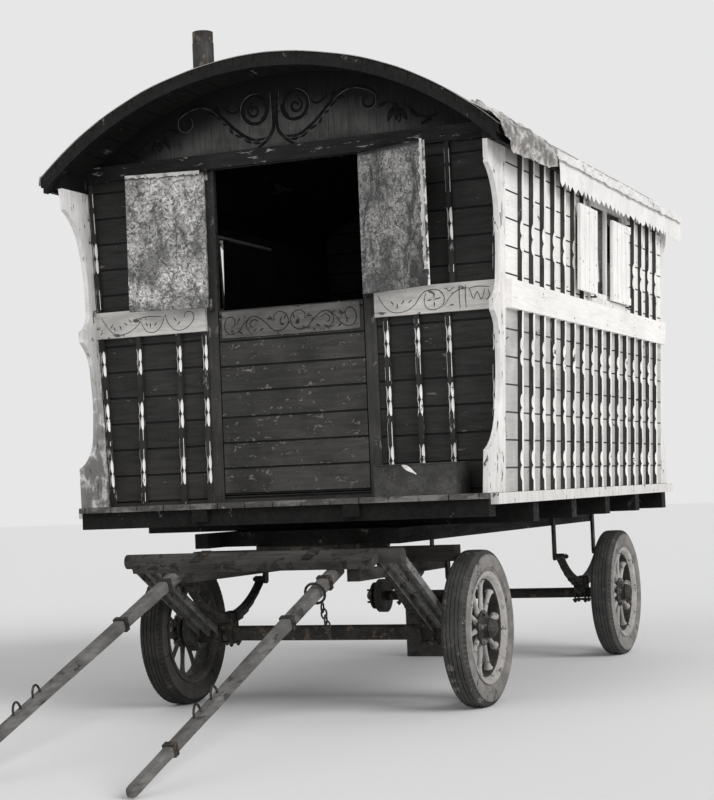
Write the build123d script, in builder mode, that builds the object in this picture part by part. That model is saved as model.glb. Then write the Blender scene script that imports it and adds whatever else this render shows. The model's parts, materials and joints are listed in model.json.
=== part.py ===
"""Living wagon with a barrel roof, lean-out matchboard walls, horse shafts and motor-car axles.

Its offside rear wheel is missing, and that end of the axle stands on a timber block.
Millimetres. +Z is up, +Y points to the rear, and +X is the wagon's own left (near) side.
Y is first measured from the front wall, and the finished pieces are moved so that the
middle of the whole length lies at the origin.
"""

import os
from math import asin, atan2, cos, degrees, hypot, radians, sin, sqrt

from build123d import *

os.makedirs("parts", exist_ok=True)

# Running gear
tyre_diameter = 740
tyre_width = 132
rim_seat_radius = 252
rim_flange_radius = 266
rim_depth = 26
bead_half_width = 48
tread_half_width = 44
track = 1580
front_axle_y = 280
rear_axle_inset = 190
spoke_count = 10
hub_flange_radius = 84
drum_radius = 105
drum_width = 48
axle_radius = 30
fit = 0.3

# Floor and underframe
floor_top = 1010
floor_thickness = 26
floor_half_width = 1048
porch_depth = 275
rear_deck_depth = 160
sill_height = 52
sill_width = 38
sleeper_x = 390
sleeper_width = 80
sleeper_height = 60
bearer_width = 90
bearer_height = 122
front_bearer_height = 80
bearer_count = 6
first_bearer_y = -200
last_bearer_beyond = 50
chassis_x = 500
chassis_width = 70
chassis_height = 72

# Body
body_length = 2990
wall_thickness = 24
wall_height = 1580
lean_out = 72
waist_bottom = 843
waist_height = 132
waist_proud = 32
rib_width = 24
rib_proud = 24
rib_count = 16
rib_inset = 190

# Roof
roof_radius = 1750
roof_thickness = 30
eaves_reach = 70
eaves_lift = 20
front_overhang = 300
rear_overhang = 220
rim_bow_depth = 30
rim_bow_width = 45
fascia_inset = 14
fascia_thickness = 26
fascia_drop = 15

# Front wall
opening_half_width = 388
threshold_height = 30
door_drop = 38
door_thickness = 28
door_gap = 6
header_lift = 55
header_height = 75
header_proud = 28
leaf_rail_lap = 20
leaf_thickness = 20
leaf_open_left = 160
leaf_open_right = 168

# Side and rear windows
window_front_y = 1400
window_width = 720
window_sill_gap = 3
window_head_gap = 10.5
frame_width = 34
frame_proud = 12
shutter_thickness = 14
shutter_head_gap = 80
shutter_foot_gap = 3
shutter_open_front = 179
shutter_open_rear = 0
rear_window_width = 560
rear_window_height = 430

# Pin hinges of the door, leaves and shutters
hinge_pin_radius = 4
hinge_pin_length = 30
knuckle_radius = 8
knuckle_length = 40
strap_length = 110
strap_thickness = 5
lug_thickness = 8
lug_gap = 6
lug_half_width = 9

# Shafts
hinge_y = -420
hinge_z = 750
roller_radius = 34
roller_length = 1400
shaft_x = 400
shaft_length = 2060
shaft_width = 58
shaft_height = 56
shaft_tip_width = 40
shaft_tip_height = 40
crossbar_length = 1200
crossbar_depth = 88
crossbar_height = 40
eye_wall = 10

# Chimney
chimney_x = -755
chimney_y = 650
chimney_radius = 57
chimney_wall = 3
chimney_height = 415
chimney_crimp = 2
chimney_crimp_length = 60
chimney_blank_drop = 400

# Tin box on the porch and the block under the bare end of the rear axle
tin_box_width = 395
tin_box_depth = 185
tin_box_height = 145
tin_box_side_gap = 143
tin_box_front_gap = 10
block_inner_x = 260
block_width = 260
block_length = 300

axle_z = tyre_diameter / 2
rear_axle_y = body_length - rear_axle_inset
wall_top = floor_top + wall_height
roof_half_width = floor_half_width + lean_out + eaves_reach
fascia_outer_x = roof_half_width - fascia_inset
fascia_inner_x = fascia_outer_x - fascia_thickness
soffit_radius = roof_radius - roof_thickness
roof_centre = wall_top + eaves_lift - sqrt(soffit_radius**2 - fascia_outer_x**2)
crown_height = roof_centre + roof_radius
header_bottom = wall_top + header_lift
chimney_top = crown_height + chimney_height
bearer_pitch = (body_length + last_bearer_beyond - first_bearer_y) / (bearer_count - 1)
rib_pitch = (body_length - 2 * rib_inset) / (rib_count - 1)
floor_bottom = floor_top - floor_thickness
bearer_bottom = floor_bottom - bearer_height
chassis_bottom = bearer_bottom - chassis_height
lean = atan2(lean_out, wall_height)
pieces = {}


def up(z):
    """Distance up the sloping wall of a height z above the ground."""
    return (z - floor_top) / cos(lean)


# The outer face of the near side wall: x runs rearwards, y up the slope and z outwards
wall_plane = Plane(
    origin=(floor_half_width, 0, floor_top),
    x_dir=(0, 1, 0),
    z_dir=(cos(lean), 0, -sin(lean)),
)
mid_plane = Plane.YZ


def box(x0, x1, y0, y1, z0, z1):
    """Adds a plain block between two corners to the part being built."""
    with Locations(((x0 + x1) / 2, (y0 + y1) / 2, (z0 + z1) / 2)):
        Box(x1 - x0, y1 - y0, z1 - z0)


# Floor, side sills and underframe
deck_rear = body_length + rear_deck_depth

with BuildPart() as floor_deck:
    box(-floor_half_width, floor_half_width, -porch_depth, deck_rear, floor_bottom, floor_top)
pieces["floor_deck"] = floor_deck

with BuildPart() as side_sills:
    box(
        floor_half_width,
        floor_half_width + sill_width,
        -porch_depth + 60,
        deck_rear - 20,
        floor_top - sill_height,
        floor_top - 2,
    )
    mirror(about=mid_plane)
pieces["side_sills"] = side_sills

bed_half_length = 150
king_pin_radius = 18

with BuildPart() as underframe_rails:
    box(
        sleeper_x - sleeper_width / 2,
        sleeper_x + sleeper_width / 2,
        -porch_depth + 4,
        first_bearer_y - bearer_width / 2,
        floor_bottom - sleeper_height,
        floor_bottom,
    )
    box(
        chassis_x - chassis_width / 2,
        chassis_x + chassis_width / 2,
        -50,
        deck_rear + 60,
        chassis_bottom,
        bearer_bottom,
    )
    mirror(about=mid_plane)
pieces["underframe_rails"] = underframe_rails

with BuildPart() as cross_bearers:
    for bearer in range(bearer_count):
        y = first_bearer_y + bearer * bearer_pitch
        box(
            -floor_half_width,
            floor_half_width,
            y - bearer_width / 2,
            y + bearer_width / 2,
            floor_bottom - (front_bearer_height if bearer == 0 else bearer_height),
            floor_bottom,
        )
pieces["cross_bearers"] = cross_bearers

with BuildPart() as turntable_bed:
    box(
        -chassis_x + chassis_width / 2,
        chassis_x - chassis_width / 2,
        front_axle_y - bed_half_length,
        front_axle_y + bed_half_length,
        chassis_bottom,
        bearer_bottom,
    )
pieces["turntable_bed"] = turntable_bed

# Side walls, each with its window opening, built on the near side and mirrored
window_rear_y = window_front_y + window_width
window_centre_y = window_front_y + window_width / 2
window_base = waist_bottom + waist_height + window_sill_gap + frame_width
window_height = up(wall_top) - window_head_gap - frame_width - window_base
window_centre_up = window_base + window_height / 2

with BuildPart() as side_wall_left:
    with BuildSketch(wall_plane.offset(-wall_thickness)):
        with Locations((body_length / 2, up(wall_top) / 2)):
            Rectangle(body_length, up(wall_top))
        with Locations((window_centre_y, window_centre_up)):
            Rectangle(window_width, window_height, mode=Mode.SUBTRACT)
    extrude(amount=wall_thickness)
pieces["side_wall_left"] = side_wall_left

with BuildPart() as side_wall_right:
    mirror(side_wall_left.part, about=mid_plane)
pieces["side_wall_right"] = side_wall_right

waist_centre_up = waist_bottom + waist_height / 2

with BuildPart() as side_waist_rails:
    with BuildSketch(wall_plane):
        with Locations((body_length / 2, waist_centre_up)):
            Rectangle(body_length, waist_height)
    extrude(amount=waist_proud)
    mirror(about=mid_plane)
pieces["side_waist_rails"] = side_waist_rails

# Ribs: places along the side, and where each run starts and ends up the wall
lower_ribs = [rib_inset + column * rib_pitch for column in range(rib_count)]
window_clear = window_width / 2 + frame_width + rib_width
upper_ribs = [y for y in lower_ribs if abs(y - window_centre_y) > window_clear]
rib_rows = [
    (lower_ribs, 0, waist_bottom),
    (upper_ribs, waist_bottom + waist_height, up(wall_top)),
]

with BuildPart() as side_ribs:
    with BuildSketch(wall_plane):
        for places, bottom, top in rib_rows:
            for y in places:
                with Locations((y, (bottom + top) / 2)):
                    Rectangle(rib_width, top - bottom)
    extrude(amount=rib_proud)
    mirror(about=mid_plane)
pieces["side_ribs"] = side_ribs


def half_width_at(z):
    """Half the width between the inner faces of the side walls at height z."""
    return floor_half_width + (z - floor_top) * sin(lean) / cos(lean) - wall_thickness / cos(lean)


def end_outline(top):
    """The outline of an end wall between the side walls, up to a height."""
    eaves = min(top, wall_top)
    low = half_width_at(floor_top)
    high = half_width_at(eaves)
    Polygon((-low, floor_top), (low, floor_top), (high, eaves), (-high, eaves), align=None)
    if top > eaves:
        with Locations((0, (eaves + top) / 2)):
            Rectangle(2 * high, top - eaves)


def under_roof(bottom):
    """The segment under the roof boards, above a height and between the cornices."""
    inner = half_width_at(wall_top)
    with BuildSketch(mode=Mode.PRIVATE) as segment:
        with Locations((0, roof_centre)):
            Circle(soffit_radius)
        with Locations((0, (bottom + crown_height) / 2)):
            Rectangle(2 * inner, crown_height - bottom, mode=Mode.INTERSECT)
    return segment.sketch


# Front wall with one opening for the half door and the two upper leaves
with BuildPart() as front_wall:
    with BuildSketch(Plane.XZ):
        end_outline(header_bottom)
        opening_bottom = floor_top + threshold_height
        with Locations((0, (opening_bottom + header_bottom) / 2)):
            Rectangle(2 * opening_half_width, header_bottom - opening_bottom, mode=Mode.SUBTRACT)
    extrude(amount=-wall_thickness)
pieces["front_wall"] = front_wall

with BuildPart() as gable_front:
    with BuildSketch(Plane.XZ):
        add(under_roof(header_bottom))
    extrude(amount=-wall_thickness)
pieces["gable_front"] = gable_front

with BuildPart() as header_front:
    with BuildSketch(Plane.XZ):
        with Locations((0, header_bottom + header_height / 2)):
            Rectangle(2 * half_width_at(wall_top), header_height)
        with Locations((0, roof_centre)):
            Circle(soffit_radius, mode=Mode.INTERSECT)
    extrude(amount=header_proud)
pieces["header_front"] = header_front

# Door posts, proud of the boards on both sides of the opening
post_width = 60
post_proud = 6
with BuildPart() as door_posts:
    box(
        opening_half_width,
        opening_half_width + post_width,
        -post_proud,
        0,
        floor_top,
        header_bottom,
    )
    mirror(about=mid_plane)
pieces["door_posts"] = door_posts

# Waist rails of the end walls: from the door posts outwards in front, right across behind
end_rail_proud = 26
front_rail_bottom = floor_top + waist_bottom * cos(lean)
front_rail_top = front_rail_bottom + waist_height
with BuildPart() as end_waist_rails:
    rail_starts = {0: opening_half_width + post_width, body_length: 0}
    for y, inner in rail_starts.items():
        with BuildSketch(Plane.XZ.offset(-y)):
            Polygon(
                (inner, front_rail_bottom),
                (half_width_at(front_rail_bottom), front_rail_bottom),
                (half_width_at(front_rail_top), front_rail_top),
                (inner, front_rail_top),
                align=None,
            )
        extrude(amount=end_rail_proud if y == 0 else -end_rail_proud)
    mirror(about=mid_plane)
pieces["end_waist_rails"] = end_waist_rails

# Ribs of the front and rear walls: distance from the middle, bottom and top
front_ribs = [
    (500, floor_top, front_rail_bottom),
    (640, floor_top, front_rail_bottom),
    (812, floor_top, front_rail_bottom),
    (840, front_rail_top, header_bottom),
]
rear_ribs = [
    (180, floor_top, front_rail_bottom),
    (360, floor_top, front_rail_bottom),
    (540, floor_top, front_rail_bottom),
    (720, floor_top, front_rail_bottom),
    (560, front_rail_top, wall_top),
    (740, front_rail_top, wall_top),
    (900, front_rail_top, wall_top),
]
with BuildPart() as end_ribs:
    with BuildSketch(Plane.XZ):
        for x, bottom, top in front_ribs:
            with Locations((x, (bottom + top) / 2)):
                Rectangle(rib_width, top - bottom)
    extrude(amount=rib_proud)
    with BuildSketch(Plane.XZ.offset(-body_length)):
        for x, bottom, top in rear_ribs:
            with Locations((x, (bottom + top) / 2)):
                Rectangle(rib_width, top - bottom)
    extrude(amount=-rib_proud)
    mirror(about=mid_plane)
pieces["end_ribs"] = end_ribs

# Rear wall up to the roof boards, with one window
rear_window_z = front_rail_top + window_sill_gap + frame_width + rear_window_height / 2
with BuildPart() as rear_wall:
    with BuildSketch(Plane.XZ.offset(-body_length + wall_thickness)):
        end_outline(wall_top)
        add(under_roof(wall_top))
        with Locations((0, rear_window_z)):
            Rectangle(rear_window_width, rear_window_height, mode=Mode.SUBTRACT)
    extrude(amount=-wall_thickness)
pieces["rear_wall"] = rear_wall


# Porch brackets: the free edge as shares of a bracket's reach and height, in threes where it curves
bracket_foot = (0.98, 0)
bracket_toe = (0.95, 0.121)
bracket_arcs = [
    [(0.95, 0.121), (0.53, 0.167), (0.35, 0.245)],
    [(0.35, 0.245), (0.293, 0.32), (0.317, 0.411)],
    [(0.317, 0.411), (0.417, 0.483), (0.633, 0.519)],
    [(0.633, 0.552), (0.417, 0.575), (0.317, 0.627)],
    [(0.317, 0.627), (0.307, 0.712), (0.4, 0.81)],
    [(0.4, 0.81), (0.583, 0.882), (0.95, 0.934)],
]
front_bracket_reach = porch_depth - 20
rear_bracket_reach = rear_deck_depth - 10


def bracket_outline(root, reach):
    """A porch bracket in the wall plane: root is its straight edge, reach its signed depth."""
    height = up(wall_top)

    def at(point):
        """The place of a share of the reach and height."""
        return (root + reach * point[0], height * point[1])

    with BuildLine() as outline:
        Polyline(at((0, 0)), at(bracket_foot), at(bracket_toe))
        for arc in bracket_arcs:
            ThreePointArc(*[at(point) for point in arc])
        Line(at(bracket_arcs[2][-1]), at(bracket_arcs[3][0]))
        Polyline(at(bracket_arcs[-1][-1]), at((1, 1)), at((0, 1)), at((0, 0)))
    make_face(outline.edges())


with BuildPart() as porch_brackets:
    for root, reach in ((0, -front_bracket_reach), (body_length, rear_bracket_reach)):
        with BuildSketch(wall_plane.offset(-wall_thickness)) as bracket:
            bracket_outline(root, reach)
        extrude(bracket.sketch, amount=wall_thickness)
    mirror(about=mid_plane)
pieces["porch_brackets"] = porch_brackets

# Roof boards, the bows that close both ends, and the cornice with its fascia under each edge
roof_front = -front_overhang
roof_rear = body_length + rear_overhang
with BuildPart() as roof:
    with BuildSketch(Plane.XZ.offset(-roof_front)):
        with Locations((0, roof_centre)):
            Circle(roof_radius)
            Circle(soffit_radius, mode=Mode.SUBTRACT)
        with Locations((0, crown_height)):
            Rectangle(2 * roof_half_width, crown_height, mode=Mode.INTERSECT)
    extrude(amount=roof_front - roof_rear)
pieces["roof"] = roof

with BuildPart() as roof_bows:
    for y in (roof_front, roof_rear - rim_bow_width):
        with BuildSketch(Plane.XZ.offset(-y)):
            with Locations((0, roof_centre)):
                Circle(soffit_radius)
                Circle(soffit_radius - rim_bow_depth, mode=Mode.SUBTRACT)
            with Locations((0, crown_height)):
                Rectangle(2 * fascia_outer_x, crown_height, mode=Mode.INTERSECT)
        extrude(amount=-rim_bow_width)
pieces["roof_bows"] = roof_bows

cornice_bottom = wall_top + wall_thickness * sin(lean)
with BuildPart() as cornices:
    with BuildSketch(Plane.XZ.offset(-roof_front - rim_bow_width)):
        cornice_inner = half_width_at(wall_top)
        Polygon(
            (cornice_inner, cornice_bottom),
            (fascia_inner_x, cornice_bottom),
            (fascia_inner_x, wall_top - fascia_drop),
            (fascia_outer_x, wall_top - fascia_drop),
            (fascia_outer_x, crown_height),
            (cornice_inner, crown_height),
            align=None,
        )
        with Locations((0, roof_centre)):
            Circle(soffit_radius, mode=Mode.INTERSECT)
    extrude(amount=roof_front - roof_rear + 2 * rim_bow_width)
    mirror(about=mid_plane)
pieces["cornices"] = cornices

# Cloth valance along each edge of the roof, with a pinked lower edge
valance_thickness = 6
valance_front_y = 640
valance_rear_y = roof_rear - 20
valance_top = roof_centre + sqrt(roof_radius**2 - roof_half_width**2)
valance_drop = 165
tooth_depth = 24
tooth_count = 22
with BuildPart() as valances:
    with BuildSketch(Plane.YZ.offset(roof_half_width)):
        tooth = (valance_rear_y - valance_front_y) / tooth_count
        hem = valance_top - valance_drop
        edge = [(valance_rear_y, valance_top), (valance_front_y, valance_top)]
        for number in range(tooth_count):
            start = valance_front_y + number * tooth
            edge += [(start, hem + tooth_depth), (start + tooth * 0.6, hem)]
        edge.append((valance_rear_y, hem + tooth_depth))
        Polygon(*edge, align=None)
    extrude(amount=valance_thickness)
    mirror(about=mid_plane)
pieces["valances"] = valances

# Stove pipe standing on the roof boards
with BuildPart() as chimney:
    with BuildSketch(Plane.XY.offset(crown_height - chimney_blank_drop)):
        with Locations((chimney_x, chimney_y)):
            Circle(chimney_radius)
            Circle(chimney_radius - chimney_wall, mode=Mode.SUBTRACT)
    extrude(amount=chimney_height - chimney_crimp_length + chimney_blank_drop)
    with BuildSketch(Plane.XY.offset(chimney_top - chimney_crimp_length)):
        with Locations((chimney_x, chimney_y)):
            Circle(chimney_radius - chimney_crimp)
            Circle(chimney_radius - chimney_crimp - chimney_wall, mode=Mode.SUBTRACT)
    extrude(amount=chimney_crimp_length)
    with BuildSketch(Plane.XZ):
        with Locations((0, roof_centre)):
            Circle(roof_radius)
    extrude(amount=-2 * chimney_y, mode=Mode.SUBTRACT)
pieces["chimney"] = chimney

# Box on the near side of the porch
tin_box_outer_x = floor_half_width - tin_box_side_gap
tin_box_front = tin_box_front_gap - porch_depth
with BuildPart() as porch_box:
    box(
        tin_box_outer_x - tin_box_width,
        tin_box_outer_x,
        tin_box_front,
        tin_box_front + tin_box_depth,
        floor_top,
        floor_top + tin_box_height,
    )
pieces["porch_box"] = porch_box


# Window frames on the outside of the walls, sashes in the openings and glass in the sashes
def window_ring(width, height, border):
    """A border round an opening, outside it for a positive border and inside for a negative."""
    if border > 0:
        Rectangle(width + 2 * border, height + 2 * border)
        Rectangle(width, height, mode=Mode.SUBTRACT)
    else:
        Rectangle(width, height)
        Rectangle(width + 2 * border, height + 2 * border, mode=Mode.SUBTRACT)


sash_border = 30
sash_bar = 18
glass_thickness = 4
rear_plane = Plane(origin=(0, body_length, rear_window_z), x_dir=(-1, 0, 0), z_dir=(0, 1, 0))
windows = [
    (wall_plane, (window_centre_y, window_centre_up), window_width, window_height),
    (rear_plane, (0, 0), rear_window_width, rear_window_height),
]
with BuildPart() as window_frames:
    for plane, centre, width, height in windows:
        with BuildSketch(plane):
            with Locations(centre):
                window_ring(width, height, frame_width)
        extrude(amount=frame_proud)
    mirror(about=mid_plane)
pieces["window_frames"] = window_frames

with BuildPart() as window_sashes:
    for plane, centre, width, height in windows:
        with BuildSketch(plane.offset(-wall_thickness + 2)):
            with Locations(centre):
                window_ring(width, height, -sash_border)
                Rectangle(sash_bar, height - 2 * sash_border)
        extrude(amount=wall_thickness - 4)
    mirror(about=mid_plane)
pieces["window_sashes"] = window_sashes

with BuildPart() as window_panes:
    for plane, centre, width, height in windows:
        pane = (width - 2 * sash_border - sash_bar) / 2
        for half in (-1, 1):
            with BuildSketch(plane.offset(-wall_thickness / 2 - glass_thickness / 2)):
                with Locations((centre[0] + half * (sash_bar + pane) / 2, centre[1])):
                    Rectangle(pane, height - 2 * sash_border)
            extrude(amount=glass_thickness)
    mirror(about=mid_plane)
pieces["window_panes"] = window_panes


def hung_leaf(plane, start, end, near, far, height):
    """A leaf on a hinge line that is the plane's Z, with a strapped knuckle at each end.

    Its slab runs from start to end along the plane's x, and from near to far along its y.
    """
    with BuildSketch(plane) as slab:
        with Locations(((start + end) / 2, (near + far) / 2)):
            Rectangle(end - start, abs(far - near))
    extrude(slab.sketch, amount=height)
    strap_y = near - strap_thickness / 2 if near > 0 else near + strap_thickness / 2
    for level in (0, height - knuckle_length):
        with BuildSketch(plane.offset(level)) as knuckle:
            Circle(knuckle_radius)
            with Locations((2 + strap_length / 2, strap_y)):
                Rectangle(strap_length, strap_thickness)
        extrude(knuckle.sketch, amount=knuckle_length)
        with BuildSketch(plane.offset(level)) as bore:
            Circle(hinge_pin_radius + fit)
        extrude(bore.sketch, amount=knuckle_length, mode=Mode.SUBTRACT)


def lug_and_pin(plane, x0, x1, y0, y1, height):
    """The two fixed lugs beyond a leaf's ends, with pins that reach into its knuckles."""
    reach = lug_gap + lug_thickness + hinge_pin_length
    for lug_level, pin_level in (
        (height + lug_gap, height - hinge_pin_length),
        (-lug_gap - lug_thickness, -lug_gap - lug_thickness),
    ):
        with BuildSketch(plane.offset(lug_level)) as lug:
            with Locations(((x0 + x1) / 2, (y0 + y1) / 2)):
                Rectangle(x1 - x0, y1 - y0)
        extrude(lug.sketch, amount=lug_thickness)
        with BuildSketch(plane.offset(pin_level)) as pin:
            Circle(hinge_pin_radius)
        extrude(pin.sketch, amount=reach)


# Half door, opening inwards on its offside edge
door_hinge_y = wall_thickness + 10
door_bottom = floor_top + threshold_height + door_gap
door_height = front_rail_top - door_drop - door_bottom
door_plane = Plane(origin=(-opening_half_width, door_hinge_y, door_bottom))
with BuildPart() as half_door:
    hung_leaf(
        door_plane,
        door_gap,
        2 * opening_half_width - door_gap,
        wall_thickness - door_hinge_y,
        wall_thickness - door_thickness - door_hinge_y,
        door_height,
    )
pieces["half_door"] = half_door

# Upper leaves on the outside of the front wall, shown folded back
leaf_hinge_x = opening_half_width + 22
leaf_hinge_y = -36
leaf_back_gap = 4
leaf_bottom = front_rail_top - leaf_rail_lap
leaf_height = header_bottom - lug_thickness - lug_gap - leaf_bottom
leaf_side = {"left": (1, leaf_open_left), "right": (-1, leaf_open_right)}
for name, (side, angle) in leaf_side.items():
    leaf_plane = Plane(
        origin=(side * leaf_hinge_x, leaf_hinge_y, leaf_bottom),
        x_dir=(-side * cos(radians(angle)), -sin(radians(angle)), 0),
        z_dir=(0, 0, 1),
    )
    with BuildPart() as leaf:
        hung_leaf(
            leaf_plane,
            6,
            leaf_hinge_x - 3,
            -side * leaf_back_gap,
            -side * (leaf_back_gap + leaf_thickness),
            leaf_height,
        )
    pieces[f"upper_leaf_{name}"] = leaf

# Fixed halves of these hinges, on the wall's inner face and on the door posts
with BuildPart() as hinge_pins:
    lug_and_pin(
        door_plane,
        -30,
        lug_half_width,
        wall_thickness - door_hinge_y,
        lug_half_width,
        door_height,
    )
    for side in (-1, 1):
        lug_and_pin(
            Plane(origin=(side * leaf_hinge_x, leaf_hinge_y, leaf_bottom)),
            -lug_half_width,
            lug_half_width,
            -lug_half_width,
            -post_proud - leaf_hinge_y,
            leaf_height,
        )
pieces["hinge_pins"] = hinge_pins

# Window shutters, each on a hinge line that stands out from the window frame
shutter_gap = 5.5
shutter_back_gap = 2
shutter_hinge_out = frame_proud + shutter_gap + shutter_thickness + shutter_back_gap
shutter_height = window_height - shutter_head_gap - shutter_foot_gap
shutter_start = 5
shutter_end = window_width / 2 - 1
shutter_bottom = window_base + shutter_foot_gap
shutter_hinges = {
    "front": (window_front_y - 2, 1, shutter_open_front),
    "rear": (window_rear_y + 2, -1, shutter_open_rear),
}
for end, (hinge, inward, angle) in shutter_hinges.items():
    along = wall_plane.x_dir * (inward * cos(radians(angle)))
    out = wall_plane.z_dir * sin(radians(angle))
    hinge_line = Plane(
        origin=wall_plane.from_local_coords((hinge, shutter_bottom, shutter_hinge_out)),
        x_dir=along + out,
        z_dir=wall_plane.y_dir,
    )
    with BuildPart() as shutter:
        hung_leaf(
            hinge_line,
            shutter_start,
            shutter_end,
            inward * shutter_back_gap,
            inward * (shutter_back_gap + shutter_thickness),
            shutter_height,
        )
    with BuildPart() as far_shutter:
        mirror(shutter.part, about=mid_plane)
    pieces[f"shutter_left_{end}"] = shutter
    pieces[f"shutter_right_{end}"] = far_shutter

with BuildPart() as shutter_pins:
    for hinge, inward, angle in shutter_hinges.values():
        hinge_line = Plane(
            origin=wall_plane.from_local_coords((hinge, shutter_bottom, shutter_hinge_out)),
            x_dir=wall_plane.x_dir,
            z_dir=wall_plane.y_dir,
        )
        lug_and_pin(
            hinge_line,
            -lug_half_width,
            lug_half_width,
            -lug_half_width,
            shutter_hinge_out - frame_proud,
            shutter_height,
        )
    mirror(about=mid_plane)
pieces["shutter_pins"] = shutter_pins

# Rear axle, springs and hangers, and the block under the bare end
spring_width = 50
leaf_count = 5
leaf_step = 9
spring_rise = 150
eye_radius = 18
pin_radius = 8
hanger_plate = 14
pin_reach = 74


def spring_pack(x, y, clamp_z, span):
    """Semi-elliptic leaf spring along Y: clamp_z is the underside of the pack at the axle."""
    half = span / 2
    eye_z = clamp_z + leaf_count * leaf_step + spring_rise
    with BuildSketch(Plane.YZ.offset(x - spring_width / 2)) as pack:
        for number in range(leaf_count):
            reach = half * (1 - 0.17 * (leaf_count - 1 - number))
            low = clamp_z + number * leaf_step
            rise = spring_rise * (reach / half) ** 2
            with BuildLine():
                ThreePointArc((y - reach, low + rise), (y, low), (y + reach, low + rise))
                Line((y + reach, low + rise), (y + reach, low + rise + leaf_step))
                ThreePointArc(
                    (y + reach, low + rise + leaf_step),
                    (y, low + leaf_step),
                    (y - reach, low + rise + leaf_step),
                )
                Line((y - reach, low + rise + leaf_step), (y - reach, low + rise))
            make_face()
        with Locations((y - half, eye_z), (y + half, eye_z)):
            Circle(eye_radius)
            Circle(pin_radius + fit, mode=Mode.SUBTRACT)
    extrude(pack.sketch, amount=spring_width)


def hangers(rail_face, y, eye_z, top, span):
    """Plates on the outer face of a rail that carry the pins of a spring's two eyes."""
    for place in (y - span / 2, y + span / 2):
        with BuildSketch(Plane.YZ.offset(rail_face)) as plate:
            with Locations((place, (eye_z + top) / 2)):
                Rectangle(44, top - eye_z)
            with Locations((place, eye_z)):
                Circle(22)
        extrude(plate.sketch, amount=hanger_plate)
        with BuildSketch(Plane.YZ.offset(rail_face)) as pin:
            with Locations((place, eye_z)):
                Circle(pin_radius)
        extrude(pin.sketch, amount=pin_reach)


rear_span = 840
rear_spring_x = chassis_x + chassis_width / 2 + hanger_plate + fit + spring_width / 2
rear_clamp_z = axle_z + axle_radius + 12
rear_eye_z = rear_clamp_z + leaf_count * leaf_step + spring_rise
with BuildPart() as rear_springs:
    spring_pack(rear_spring_x, rear_axle_y, rear_clamp_z, rear_span)
    mirror(about=mid_plane)
pieces["rear_springs"] = rear_springs

with BuildPart() as rear_hangers:
    hangers(chassis_x + chassis_width / 2, rear_axle_y, rear_eye_z, bearer_bottom, rear_span)
    mirror(about=mid_plane)
pieces["rear_hangers"] = rear_hangers

stub_radius = 20
bearing_gap = 0.5
axle_end = track / 2 - tyre_width / 2 - drum_width / 2
with BuildPart() as rear_axle:
    with BuildSketch(Plane.YZ):
        with Locations((rear_axle_y, axle_z)):
            Circle(axle_radius)
    extrude(amount=axle_end)
    with BuildSketch(Plane.YZ):
        with Locations((rear_axle_y, axle_z)):
            Circle(stub_radius)
    extrude(amount=track / 2)
    box(
        rear_spring_x - spring_width / 2 - 6,
        rear_spring_x + spring_width / 2 + 6,
        rear_axle_y - 45,
        rear_axle_y + 45,
        axle_z,
        rear_clamp_z,
    )
    mirror(about=mid_plane)
pieces["rear_axle"] = rear_axle

with BuildPart() as prop_block:
    box(
        -block_inner_x - block_width,
        -block_inner_x,
        rear_axle_y - block_length / 2,
        rear_axle_y + block_length / 2,
        0,
        axle_z - axle_radius,
    )
pieces["prop_block"] = prop_block

# Turntable: upper ring and king pin on the bed, lower ring on the bolster
ring_outer = 330
ring_inner = 280
ring_height = 12
bolster_top = chassis_bottom - 2 * ring_height - fit
bolster_height = 76
bolster_length = 1400
bolster_width = 90
with BuildPart() as turntable_upper:
    with BuildSketch(Plane.XY.offset(chassis_bottom - ring_height)):
        with Locations((0, front_axle_y)):
            Circle(ring_outer)
            Circle(ring_inner, mode=Mode.SUBTRACT)
            Circle(king_pin_radius)
        with Locations((0, front_axle_y)):
            Rectangle(2 * ring_inner + 20, 60)
    extrude(amount=ring_height)
    with BuildSketch(Plane.XY.offset(bolster_top - bolster_height)):
        with Locations((0, front_axle_y)):
            Circle(king_pin_radius)
    extrude(amount=chassis_bottom - bolster_top + bolster_height)
pieces["turntable_upper"] = turntable_upper

with BuildPart() as turntable_lower:
    with BuildSketch(Plane.XY.offset(bolster_top)):
        with Locations((0, front_axle_y)):
            Circle(ring_outer)
            Circle(ring_inner, mode=Mode.SUBTRACT)
    extrude(amount=ring_height)
pieces["turntable_lower"] = turntable_lower

with BuildPart() as bolster:
    with BuildSketch(Plane.XY.offset(bolster_top - bolster_height)):
        with Locations((0, front_axle_y)):
            Rectangle(bolster_length, bolster_width)
            Circle(king_pin_radius + 1, mode=Mode.SUBTRACT)
    extrude(amount=bolster_height)
pieces["bolster"] = bolster

# Forecarriage beams under the bolster, with blocks that carry the roller
beam_x = 470
beam_width = 60
beam_height = 50
beam_top = bolster_top - bolster_height
beam_bottom = beam_top - beam_height
beam_front = hinge_y - 36
front_span = 760
with BuildPart() as forecarriage_beams:
    box(
        beam_x - beam_width / 2,
        beam_x + beam_width / 2,
        beam_front,
        front_axle_y + front_span / 2 + 40,
        beam_bottom,
        beam_top,
    )
    with BuildSketch(Plane.YZ.offset(beam_x - beam_width / 2)):
        with Locations((hinge_y, (beam_top + hinge_z) / 2)):
            Rectangle(70, hinge_z - beam_top)
        with Locations((hinge_y, hinge_z)):
            Circle(roller_radius, mode=Mode.SUBTRACT)
    extrude(amount=beam_width)
    mirror(about=mid_plane)
pieces["forecarriage_beams"] = forecarriage_beams

with BuildPart() as shaft_roller:
    with BuildSketch(Plane.YZ.offset(-roller_length / 2)):
        with Locations((hinge_y, hinge_z)):
            Circle(roller_radius)
    extrude(amount=roller_length)
pieces["shaft_roller"] = shaft_roller

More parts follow.
